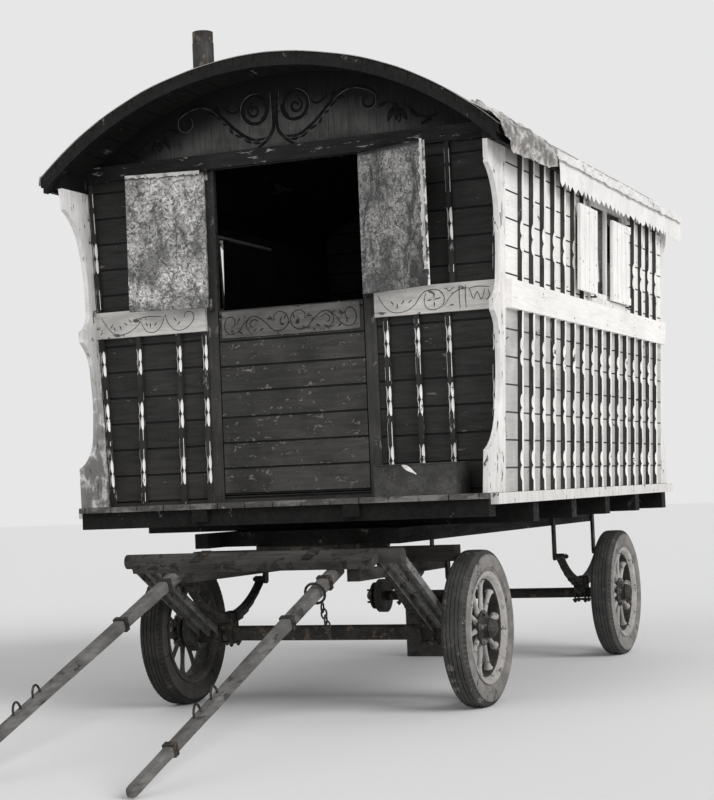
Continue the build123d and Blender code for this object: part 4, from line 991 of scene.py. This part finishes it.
def curl(centre, radius, start, turns, inner=0.3, count=48):
    """A spiral round a centre, whose radius shrinks evenly with the angle to inner * radius."""
    share = np.linspace(0, 1, count)[:, None]
    angle = start + turns * 2 * pi * share
    arms = np.concatenate([np.cos(angle), np.sin(angle)], 1)
    return np.asarray(centre) + radius * (1 - (1 - inner) * share) * arms


def ribbon(line, width, depth, place, mark=0):
    """A painted line as a thin raised strip with tapering ends, set on a surface by place()."""
    run = unit(np.gradient(line, axis=0))
    square = stacked(-run[:, 1], run[:, 0])
    share = np.linspace(0, 1, len(line))
    swell = width / 2 * (0.35 + 0.65 * np.sin(pi * np.clip(share * 0.94 + 0.03, 0, 1)) ** 0.6)
    offsets = np.array([-1.0, -0.55, 0.55, 1.0])
    flat = line[:, None] + square[:, None] * (swell[:, None] * offsets)[..., None]
    return sleeve(place(flat[..., 0], flat[..., 1], np.array([0.0, depth, depth, 0.0])), mark)


def leaf_blade(centre, length, angle, width, depth, place):
    """A pointed painted leaf: half width = width / 2 * sin(pi * share) ** 0.8, with a raised rib."""
    share = np.linspace(0.0, 1.0, 13)[:, None]
    along = (share - 0.5) * length
    across = width / 2 * np.sin(pi * np.clip(share, 0.02, 0.98)) ** 0.8 * np.array([-1.0, 0.0, 1.0, 0.0])
    x = centre[0] + along * cos(angle) - across * sin(angle)
    y = centre[1] + along * sin(angle) + across * cos(angle)
    return sleeve(place(x, y, np.array([0.0, depth, 0.0, 0.0])))


def front_place(gap):
    """Places scrolls on a plane that faces forwards, a gap in front of the front wall."""
    return lambda x, z, out: stacked(x, FRONT - gap - out, z)


LEAF_LENGTH = 0.024
# Half of the door's scrolls, and the two rails' scrolls, from the outer corner of each board
DOOR_LINES = [
    [
        (0.098, 0.076), (0.081, 0.073), (0.083, 0.094), (0.054, 0.112), (0.018, 0.098), (0.006, 0.067),
        (0.018, 0.036), (0.054, 0.019), (0.092, 0.028), (0.123, 0.059), (0.162, 0.09), (0.198, 0.099),
        (0.226, 0.076), (0.23, 0.045), (0.208, 0.019),
    ],
    [
        (0.206, 0.098), (0.246, 0.066), (0.27, 0.034), (0.308, 0.018), (0.339, 0.03), (0.35, 0.066),
        (0.335, 0.097), (0.308, 0.103), (0.293, 0.085), (0.296, 0.06), (0.315, 0.05),
    ],
    [(0.166, 0.07), (0.188, 0.082), (0.21, 0.07), (0.208, 0.05), (0.192, 0.046)],
    [(0.04, 0.044), (0.05, 0.066), (0.04, 0.086)],
]
DOOR_LEAVES = [
    (0.024, 0.084, 1.9), (0.04, 0.052, 0.4), (0.1, 0.086, 0.7), (0.11, 0.08, 0.1), (0.27, 0.088, 2.2),
    (0.15, 0.032, 2.6), (0.262, 0.024, 0.6),
]
NEAR_RAIL_LINES = [
    [
        (0.005, 0.1), (0.026, 0.061), (0.058, 0.026), (0.096, 0.013), (0.147, 0.02), (0.186, 0.043),
        (0.211, 0.075), (0.237, 0.1), (0.275, 0.108), (0.314, 0.1), (0.334, 0.07), (0.33, 0.038),
        (0.307, 0.02), (0.275, 0.014), (0.246, 0.026), (0.236, 0.06), (0.246, 0.094),
    ],
    [(0.333, 0.028), (0.358, 0.062), (0.384, 0.086), (0.416, 0.1), (0.45, 0.103)],
    [(0.345, 0.112), (0.36, 0.096), (0.385, 0.112)],
    [(0.412, 0.012), (0.409, 0.06), (0.411, 0.118)],
    [(0.441, 0.012), (0.439, 0.06), (0.441, 0.118)],
    [(0.455, 0.1), (0.5, 0.106), (0.56, 0.1)],
    [(0.46, 0.098), (0.478, 0.05), (0.496, 0.082), (0.516, 0.046), (0.535, 0.092)],
    [(0.54, 0.04), (0.556, 0.06), (0.55, 0.09)],
]
NEAR_RAIL_LEAVES = [
    (0.285, 0.082, 1.57), (0.285, 0.04, 1.57), (0.262, 0.06, 0.2), (0.308, 0.066, 0.3), (0.075, 0.06, 2.2),
    (0.1, 0.045, 1.6), (0.128, 0.06, 0.9), (0.165, 0.062, 0.7), (0.37, 0.03, 0.2),
]
FAR_RAIL_LINES = [
    [
        (0.003, 0.104), (0.037, 0.053), (0.07, 0.024), (0.11, 0.0135), (0.15, 0.021), (0.19, 0.041),
        (0.219, 0.066), (0.212, 0.08),
    ],
    [(0.226, 0.07), (0.251, 0.028), (0.285, 0.0135), (0.318, 0.022), (0.345, 0.05), (0.36, 0.09)],
    [(0.22, 0.09), (0.28, 0.094), (0.345, 0.088)],
    [
        (0.365, 0.1), (0.38, 0.055), (0.415, 0.02), (0.46, 0.016), (0.5, 0.036), (0.525, 0.07),
        (0.512, 0.1), (0.48, 0.1), (0.472, 0.076),
    ],
]
FAR_RAIL_LEAVES = [
    (0.06, 0.06, 0.9), (0.075, 0.045, 2.0), (0.11, 0.05, 1.9), (0.14, 0.066, 2.6), (0.165, 0.08, 2.4),
    (0.28, 0.05, 1.57), (0.26, 0.055, 2.2), (0.31, 0.055, 0.9), (0.44, 0.05, 0.8), (0.42, 0.07, 2.2),
]
# The gable's scrolls, from its motif's axis; the far half is their mirror image
GABLE_AXIS, GABLE_MIDDLE = -0.04, 2.914
GABLE_SWEEP = [
    (0.02, 2.79), (0.043, 2.772), (0.09, 2.766), (0.14, 2.776), (0.219, 2.83), (0.277, 2.888),
    (0.34, 2.948), (0.405, 2.968), (0.47, 2.955), (0.52, 2.925), (0.524, 2.89),
]
GABLE_BRANCHES = [
    [(0.185, 2.935), (0.215, 2.91), (0.25, 2.918), (0.275, 2.94)],
    [(0.6, 2.87), (0.63, 2.84), (0.65, 2.79), (0.64, 2.765)],
    [(0.66, 2.85), (0.7, 2.83), (0.74, 2.79), (0.8, 2.775), (0.84, 2.79)],
]
GABLE_LEAVES = [
    (0.1, 2.752, 0.1, 0.05), (0.15, 2.765, 0.5, 0.05), (0.195, 2.795, 0.3, 0.05), (0.24, 2.83, 1.3, 0.05),
    (0.262, 2.86, 0.2, 0.05), (0.3, 2.895, 0.5, 0.06), (0.31, 2.935, 1.2, 0.05), (0.35, 2.92, 0.1, 0.05),
    (0.56, 2.86, 0.4, 0.06), (0.6, 2.81, 1.2, 0.075), (0.63, 2.82, 1.57, 0.09), (0.665, 2.805, 2.1, 0.075),
    (0.72, 2.8, 2.4, 0.06), (0.78, 2.755, 0.3, 0.06),
]


def vine(lines, leaves, to_board, width, place):
    """Painted lines and short leaves, each a little prouder than the last so none lie level."""
    shells = []
    for number, line in enumerate(lines):
        shells.append(ribbon(to_board(smooth_line(line)), width, 0.0016 + 0.0001 * number, place))
    for number, (x, z, angle) in enumerate(leaves):
        half = LEAF_LENGTH / 2 * np.array([cos(angle), sin(angle)])
        start, end = to_board(np.array([-half, half]) + (x, z))
        tilt = atan2(end[1] - start[1], end[0] - start[0])
        depth = 0.0025 + 0.00005 * number
        shells.append(leaf_blade((start + end) / 2, LEAF_LENGTH, tilt, width * 1.5, depth, place))
    return shells


def gable_shells(side, place):
    """Half of the gable's scrolls: dark shapes, and the thin pale lines that edge them."""
    hoop, tip = (0.107, GABLE_MIDDLE), (0.489, 2.887)
    stem = smooth_line([(0.012, 2.985), (0.009, 2.9), (0.01, 2.82), (0.03, 2.778), (0.07, 2.742), (0.1, 2.724)])
    dark = [
        (np.concatenate([smooth_line(GABLE_SWEEP), curl(tip, 0.034, 0.05, -0.8, 0.55, 24)]), 0.016),
        (curl(hoop, 0.072, 3.0, 1.18, 0.82, 60), 0.019),
        (curl((0.112, GABLE_MIDDLE - 0.005), 0.036, 1.2, -1.2, 0.3, 40), 0.015),
        (stem, 0.018),
        *((smooth_line(branch), 0.012) for branch in GABLE_BRANCHES),
    ]
    pale = [
        (smooth_line(GABLE_SWEEP) + (0.005, -0.011), 0.003),
        (curl(hoop, 0.082, 3.0, 0.8, 0.94, 50), 0.0032),
        (stem + (0.011, 0.004), 0.0035),
        (curl(tip, 0.043, 0.0, -0.6, 0.9, 24), 0.003),
    ]
    shells = []
    for number, (line, width) in enumerate(dark + pale):
        mark = int(number >= len(dark))
        depth = 0.0018 + 0.00015 * number + 0.0008 * mark
        shells.append(ribbon(line * (side, 1) + (GABLE_AXIS, 0), width, depth, place, mark))
    for number, (x, z, angle, size) in enumerate(GABLE_LEAVES):
        turn = angle if side > 0 else pi - angle
        tip = (GABLE_AXIS + x * side, z)
        shells.append(leaf_blade(tip, size, turn, size * 0.36, 0.004 + 0.00005 * number, place))
    return shells


def make_scrollwork(sizes):
    """Painted scrolls on the front waist rails, the half door's top board and the gable."""
    rail = front_place(0.026)
    near = vine(NEAR_RAIL_LINES, NEAR_RAIL_LEAVES, lambda p: p + (0.465, RAIL_LOW), 0.0034, rail)
    far = vine(FAR_RAIL_LINES, FAR_RAIL_LEAVES, lambda p: p + (-1.035, RAIL_LOW), 0.0034, rail)
    build("rail_scrolls", near + far, "wagon", ["scroll_paint"])
    gable = front_place(0.0)
    shells = gable_shells(1, gable) + gable_shells(-1, gable)
    build("gable_scrolls", shells, "wagon", ["gable_scroll", "gable_outline"])
    low, half_width, gap, thickness = 1.808, 0.366, 0.012, 0.008
    board = slab((-half_width, FRONT - gap, low), (2 * half_width, thickness, RAIL_HEIGHT), 0.002)
    build("door_scroll_panel", [board], "lower_door", ["door_scroll_board"])
    shells = []
    for side in (1, -1):
        shells += vine(DOOR_LINES, DOOR_LEAVES, lambda p: p * (side, 1) + (0, low), 0.0046, front_place(gap))
    build("door_scrolls", shells, "lower_door", ["scroll_paint"])


# Fittings


def u_bolt(x, y, half_x, top, low):
    """A U-bolt over a spring pack, down through a plate under the axle, with a nut on each leg."""
    arc = np.linspace(0, pi, 9)
    bend = stacked(x + half_x * np.cos(arc), y, top + 0.008 * np.sin(arc))
    path = np.concatenate([[(x + half_x, y, low - 0.008)], bend, [(x - half_x, y, low - 0.008)]])
    shells = [tube(path, 0.006, up=(0, 1, 0))]
    for side in (1, -1):
        shells += nut((x + side * half_x, y, low), (0, 0, -1.0), 0.011, 0.010)
    return shells


def spring_bolts(name, body, spring_x, axle_y, low, top, reach, eye):
    """U-bolts and their plate on both springs of an axle, and nuts on the pins at the springs' ends."""
    shells = []
    for side in (1, -1):
        x, y = side * spring_x, FRONT + axle_y
        for step in (-0.038, 0.038):
            shells += u_bolt(x, y + step, 0.0315, top, low)
        shells.append(slab((x - 0.045, y - 0.05, low), (0.09, 0.1, 0.008)))
        for step in (-reach, reach):
            shells += nut((x + side * 0.035, y + step, eye), (side, 0.0, 0.0), 0.013, 0.011)
    build(name, shells, body, [IRON])


def tin_box_trim():
    """The rolled rim of the tin box's lid, and a strip of cloth that peels off its front edge."""
    low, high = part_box("porch_box")
    front, rim_z, round_off = low.y, high.z - 0.004, 0.012
    quarter = np.linspace(0, pi / 2, 5)[:, None]
    rim = []
    for x, y, start in ((1, 1, 0.0), (-1, 1, pi / 2), (-1, -1, pi), (1, -1, 3 * pi / 2)):
        corner = (high.x if x > 0 else low.x, high.y if y > 0 else low.y) - round_off * np.array([x, y])
        rim.append(corner + round_off * np.concatenate([np.cos(start + quarter), np.sin(start + quarter)], 1))
    rim = np.concatenate(rim)
    rim = tube(stacked(rim[:, 0], rim[:, 1], rim_z), 0.0035, joined=True)
    build("tin_box_rim", [rim], "wagon", ["worn_tin"])
    share = np.linspace(0, 1, 25)[:, None]
    across = np.linspace(-0.5, 0.5, 7)
    turn = share * 2.6
    width = across * np.sin(pi * np.clip(share, 0.04, 0.9))
    points = stacked(
        0.645 + 0.075 * share + 0.014 * width,
        front - 0.002 - 0.024 * np.sin(turn) ** 2,
        rim_z - 0.05 * share + 0.010 * np.sin(turn) + 0.015 * width,
    )
    uv = stacked(share * 0.1, across * 0.03)
    sheet_piece("tin_box_peel", points, 0.0008, "valance_cloth", uv)


def make_fittings(sizes):
    """Spring U-bolts, nuts on the spring pins, pipe collars, the tin box's rim and the valances' tacks."""
    spring_bolts("rear_spring_bolts", "wagon", 0.574, REAR_AXLE, 0.326, 0.457, 0.42, 0.607)
    spring_bolts("front_spring_bolts", "forecarriage", 0.539, FRONT_AXLE, 0.303, 0.450, 0.40, 0.600)
    centre = (-0.755, FRONT + 0.65, 0.0)
    collars = [
        [(2.974, 0.0572), (2.972, 0.088), (2.975, 0.092), (2.99, 0.074), (3.016, 0.0605), (3.018, 0.0572)],
        [(3.235, 0.0572), (3.235, 0.0592), (3.239, 0.06), (3.262, 0.06), (3.266, 0.0592), (3.266, 0.0572)],
    ]
    shells = [turned(ring, centre, (0, 0, 1.0), 40) for ring in collars]
    build("pipe_collars", shells, "wagon", ["pipe_iron"])
    tin_box_trim()
    dome = [(0.0, 0.0001), (0.0, 0.006), (0.0015, 0.0052), (0.0028, 0.003), (0.0032, 0.0001)]
    height = float(roof_height(ROOF_HALF)) - 0.012
    shells = [
        turned(dome, (side * (ROOF_HALF + 0.0055), FRONT + along, height), (side, 0.0, 0.0), 8)
        for side in (1, -1)
        for along in np.arange(0.64, ROOF_REAR - 0.04, 0.075)
    ]
    build("valance_tacks", shells, "wagon", [IRON])


# Shafts and their fittings


SQUARE = np.array([0.0, -sin(SHAFT_SLOPE), cos(SHAFT_SLOPE)])
WAGON_RIGHT = np.array([1.0, 0.0, 0.0])


def shaft_point(x, s, n=SHAFT_UNDER):
    """A point of the shafts' sloping frame: across, along from the hinge to the tips, and square to both."""
    y = FRONT + SHAFT_HINGE[0] - s * cos(SHAFT_SLOPE) - n * sin(SHAFT_SLOPE)
    z = SHAFT_HINGE[1] - s * sin(SHAFT_SLOPE) + n * cos(SHAFT_SLOPE)
    return stacked(x, y, z)


def worn_shaft(side, seed):
    """A rounded square carried along a line that wanders a few millimetres, thinner to its tip."""
    turn = circle(20)
    ring = np.sign(turn) * np.abs(turn) ** 0.42
    s = np.concatenate([[0.0468, 0.049, 0.055], np.linspace(0.07, 2.03, 60), [2.045, 2.054, 2.0585]])
    ends = np.ones_like(s)
    ends[[0, 1, -3, -2, -1]] = 0.72, 0.93, 0.94, 0.8, 0.5
    share = (s - s[0]) / (s[-1] - s[0])
    wander = 0.0022 * lumps(s * 2.4, 0, seed, 2.0) * np.sin(pi * share)
    rise = 0.002 * lumps(s * 2.0, 0, seed + 10, 2.0) * np.sin(pi * share)
    half_w = (0.029 - 0.009 * share - 0.0015 * np.abs(lumps(s * 5, 0, seed + 20, 2.0))) * ends
    half_h = (0.028 - 0.008 * share - 0.0015 * np.abs(lumps(s * 5, 0, seed + 30, 2.0))) * ends
    path = shaft_point(side * SHAFT_X + wander, s, SHAFT_UNDER + rise)
    return carried(path, WAGON_RIGHT, SQUARE, ring * stacked(half_w, half_h)[:, None])


def make_shafts(sizes):
    """The worn shafts, the bands, bolts and staples on them, and the ring and chain of the near one."""
    shells = [worn_shaft(1, 3), worn_shaft(-1, 4)]
    build("worn_shafts", shells, "shaft_frame", ["weathered_pole"], ["shafts"], 50.0)
    shells = []
    arc = np.linspace(0, pi, 13)
    for side in (1, -1):
        x = side * SHAFT_X
        for place, half in ((0.2, 0.0287), (0.62, 0.0268), (1.72, 0.0222)):
            wall = half + 0.0025
            loop = wall * np.array([(-1, -1), (1, -1), (1, 1), (-1, 1)])
            shells.append(carried(shaft_point(x, np.array([place, place + 0.03])), WAGON_RIGHT, SQUARE, loop))
            for across in (-1, 1):
                shells += nut(shaft_point(x + across * wall, place + 0.015), (across, 0, 0), 0.007, 0.005)
        for place in (1.35, 1.5):
            loop = shaft_point(x, place + 0.028 * np.cos(arc), SHAFT_UNDER + 0.018 + 0.045 * np.sin(arc))
            shells.append(tube(loop, 0.005, up=WAGON_RIGHT))
    build("shaft_staples", shells, "shaft_frame", [IRON])
    spot = shaft_point(SHAFT_X, 0.33)
    turn = circle(28)
    shells = [tube(spot + 0.046 * turn @ np.stack([WAGON_RIGHT, SQUARE]), 0.0062, joined=True)]
    for number in range(5):
        centre = spot + (0.028 + 0.004 * number, 0.01 + 0.006 * number, -0.062 - 0.027 * number)
        side = (1, 0, 0) if number % 2 else (0, 1, 0)
        path = centre + turn * (0.021, 0.0125) @ np.array([(0, 0, -1), side])
        shells.append(tube(path, 0.0042, joined=True, up=(0.3, 0.2, 1)))
    build("shaft_chain", shells, "shaft_frame", [IRON])


# Stage


def make_floor():
    """A wide pale floor a millimetre under the wheels."""
    span, under = 60.0, -0.001
    mesh = bpy.data.meshes.new("studio_floor")
    corners = [(-span, -span, under), (span, -span, under), (span, span, under), (-span, span, under)]
    mesh.from_pydata(corners, [], [(0, 1, 2, 3)])
    floor = bpy.data.objects.new("studio_floor", mesh)
    bpy.context.scene.collection.objects.link(floor)
    t = Tree("studio_floor")
    t.feed("Base Color", (0.86, 0.86, 0.86))
    t.feed("Roughness", 0.9)
    mesh.materials.append(t.material)


def make_backdrop():
    """A dim world that lights the wagon, and a brighter one behind it that the camera sees."""
    world = bpy.data.worlds.new("studio")
    bpy.context.scene.world = world
    world.use_nodes = True
    nodes, links = world.node_tree.nodes, world.node_tree.links
    nodes.clear()
    rays = nodes.new("ShaderNodeLightPath")
    out = nodes.new("ShaderNodeOutputWorld")
    seen, through = nodes.new("ShaderNodeMath"), nodes.new("ShaderNodeMath")
    seen.operation = through.operation = "MAXIMUM"
    links.new(rays.outputs["Is Camera Ray"], seen.inputs[0])
    links.new(rays.outputs["Is Glossy Ray"], through.inputs[0])
    links.new(rays.outputs["Is Transmission Ray"], through.inputs[1])
    links.new(through.outputs[0], seen.inputs[1])
    choose = nodes.new("ShaderNodeMixShader")
    links.new(seen.outputs[0], choose.inputs[0])
    for socket, strength in ((1, 0.42), (2, 0.8)):
        background = nodes.new("ShaderNodeBackground")
        background.inputs["Color"].default_value = (1.0, 1.0, 1.0, 1.0)
        background.inputs["Strength"].default_value = strength
        links.new(background.outputs[0], choose.inputs[socket])
    links.new(choose.outputs[0], out.inputs["Surface"])


def make_stage(sizes):
    """Floor, camera at the photograph's viewing angle, a broad soft key from the near side and a fill."""
    scene = bpy.context.scene
    scene.view_settings.view_transform = "Standard"
    make_floor()
    yaw, pitch, roll = 0.400, 0.0490, -0.0405
    forward = Vector((-sin(yaw) * cos(pitch), cos(yaw) * cos(pitch), sin(pitch)))
    level = Vector((cos(yaw), sin(yaw), 0))
    upright = level.cross(forward)
    right = cos(roll) * level + sin(roll) * upright
    up = -sin(roll) * level + cos(roll) * upright
    turn = Matrix((right, up, -forward)).transposed().to_4x4()
    lens = bpy.data.cameras.new("studio_camera")
    lens.lens, lens.sensor_width = 81.675, 36.0
    camera = bpy.data.objects.new("studio_camera", lens)
    camera.matrix_world = Matrix.Translation((3.67, FRONT - 7.9, 1.05)) @ turn
    scene.collection.objects.link(camera)
    scene.camera = camera
    for name, strength, spread, direction in (
        ("key_lamp", 2.1, 35.0, (-0.84, 0.36, -0.52)),
        ("fill_lamp", 0.55, 60.0, (0.25, 0.86, -0.45)),
    ):
        lamp = bpy.data.lights.new(name, "SUN")
        lamp.energy = strength
        lamp.angle = radians(spread)
        holder = bpy.data.objects.new(name, lamp)
        holder.rotation_mode = "QUATERNION"
        holder.rotation_quaternion = Vector(direction).to_track_quat("-Z", "Y")
        scene.collection.objects.link(holder)
    make_backdrop()


# Sizes, operators and panel


class WagonSizes(bpy.types.PropertyGroup):
    """Sizes of the wagon's dressing that a user would change."""

    rib_width: bpy.props.FloatProperty(name="Rib width", description="Across a carved rib", default=0.024)
    rib_depth: bpy.props.FloatProperty(name="Rib depth", description="How far a rib stands out", default=0.024)
    scoop_cut: bpy.props.FloatProperty(name="Scoop cut", description="Deepest cut of a scoop", default=0.0105)
    tread_teeth: bpy.props.IntProperty(name="Tread teeth", description="Notches round a tyre", default=88)
    spoke_count: bpy.props.IntProperty(name="Spokes", description="Spokes in a wheel", default=10)
    tooth_count: bpy.props.IntProperty(name="Valance teeth", description="Teeth along a valance", default=30)
    valance_drop: bpy.props.FloatProperty(name="Valance drop", description="Depth of a valance", default=0.155)


class WAGON_OT_stage(bpy.types.Operator):
    """Add the floor, the camera, the lamps and the backdrop"""

    bl_idname = "wagon.stage"
    bl_label = "Stage"
    bl_options = {"REGISTER", "UNDO"}

    def execute(self, context):
        make_stage(context.scene.wagon_sizes)
        return {"FINISHED"}


class WAGON_OT_finishes(bpy.types.Operator):
    """Make every finish and paint the nodes that stay"""

    bl_idname = "wagon.finishes"
    bl_label = "Finishes"
    bl_options = {"REGISTER", "UNDO"}

    def execute(self, context):
        make_finishes()
        paint_nodes()
        return {"FINISHED"}


class WAGON_OT_ribs(bpy.types.Operator):
    """Add the ribs with scooped edges on all four walls"""

    bl_idname = "wagon.ribs"
    bl_label = "Carved ribs"
    bl_options = {"REGISTER", "UNDO"}

    def execute(self, context):
        make_ribs(context.scene.wagon_sizes)
        return {"FINISHED"}


class WAGON_OT_wheels(bpy.types.Operator):
    """Add the treaded tyres and the spoked wheels"""

    bl_idname = "wagon.wheels"
    bl_label = "Wheels"
    bl_options = {"REGISTER", "UNDO"}

    def execute(self, context):
        make_wheels(context.scene.wagon_sizes)
        return {"FINISHED"}


class WAGON_OT_roof_cloth(bpy.types.Operator):
    """Add the roof skin, the valances, the canvas flap and the torn edges"""

    bl_idname = "wagon.roof_cloth"
    bl_label = "Roof cloth"
    bl_options = {"REGISTER", "UNDO"}

    def execute(self, context):
        make_roof_cloth(context.scene.wagon_sizes)
        return {"FINISHED"}


class WAGON_OT_curtains(bpy.types.Operator):
    """Hang the curtains behind both side windows"""

    bl_idname = "wagon.curtains"
    bl_label = "Curtains"
    bl_options = {"REGISTER", "UNDO"}

    def execute(self, context):
        make_curtains(context.scene.wagon_sizes)
        return {"FINISHED"}


class WAGON_OT_torn_paper(bpy.types.Operator):
    """Add the torn paper along the edges of the two upper leaves"""

    bl_idname = "wagon.torn_paper"
    bl_label = "Torn paper"
    bl_options = {"REGISTER", "UNDO"}

    def execute(self, context):
        make_torn_paper(context.scene.wagon_sizes)
        return {"FINISHED"}


class WAGON_OT_scrollwork(bpy.types.Operator):
    """Paint the scrolls on the rails, the door and the gable"""

    bl_idname = "wagon.scrollwork"
    bl_label = "Scrollwork"
    bl_options = {"REGISTER", "UNDO"}

    def execute(self, context):
        make_scrollwork(context.scene.wagon_sizes)
        return {"FINISHED"}


class WAGON_OT_fittings(bpy.types.Operator):
    """Add the spring bolts, the pipe's collars, the tin box's rim and the valances' tacks"""

    bl_idname = "wagon.fittings"
    bl_label = "Fittings"
    bl_options = {"REGISTER", "UNDO"}

    def execute(self, context):
        make_fittings(context.scene.wagon_sizes)
        return {"FINISHED"}


class WAGON_OT_shafts(bpy.types.Operator):
    """Add the worn shafts with their staples, bands and chain"""

    bl_idname = "wagon.shafts"
    bl_label = "Shafts"
    bl_options = {"REGISTER", "UNDO"}

    def execute(self, context):
        make_shafts(context.scene.wagon_sizes)
        return {"FINISHED"}


# In the order in which main() calls them: every finish comes before the pieces that wear it
OPERATORS = (
    WAGON_OT_stage, WAGON_OT_finishes, WAGON_OT_ribs, WAGON_OT_wheels, WAGON_OT_roof_cloth, WAGON_OT_curtains,
    WAGON_OT_torn_paper, WAGON_OT_scrollwork, WAGON_OT_fittings, WAGON_OT_shafts,
)


class WAGON_PT_panel(bpy.types.Panel):
    """Lists the wagon's operators and sizes in the sidebar."""

    bl_label = "Living wagon"
    bl_idname = "WAGON_PT_panel"
    bl_space_type = "VIEW_3D"
    bl_region_type = "UI"
    bl_category = "Wagon"

    def draw(self, context):
        for kind in OPERATORS:
            self.layout.operator(kind.bl_idname)
        for name in WagonSizes.__annotations__:
            self.layout.prop(context.scene.wagon_sizes, name)


def register():
    for kind in (WagonSizes, *OPERATORS, WAGON_PT_panel):
        bpy.utils.register_class(kind)
    bpy.types.Scene.wagon_sizes = bpy.props.PointerProperty(type=WagonSizes)


def unregister():
    del bpy.types.Scene.wagon_sizes
    for kind in (WAGON_PT_panel, *reversed(OPERATORS), WagonSizes):
        bpy.utils.unregister_class(kind)


def main():
    register()
    for kind in OPERATORS:
        getattr(bpy.ops.wagon, kind.bl_idname.split(".")[1])()


if __name__ == "__main__":
    main()
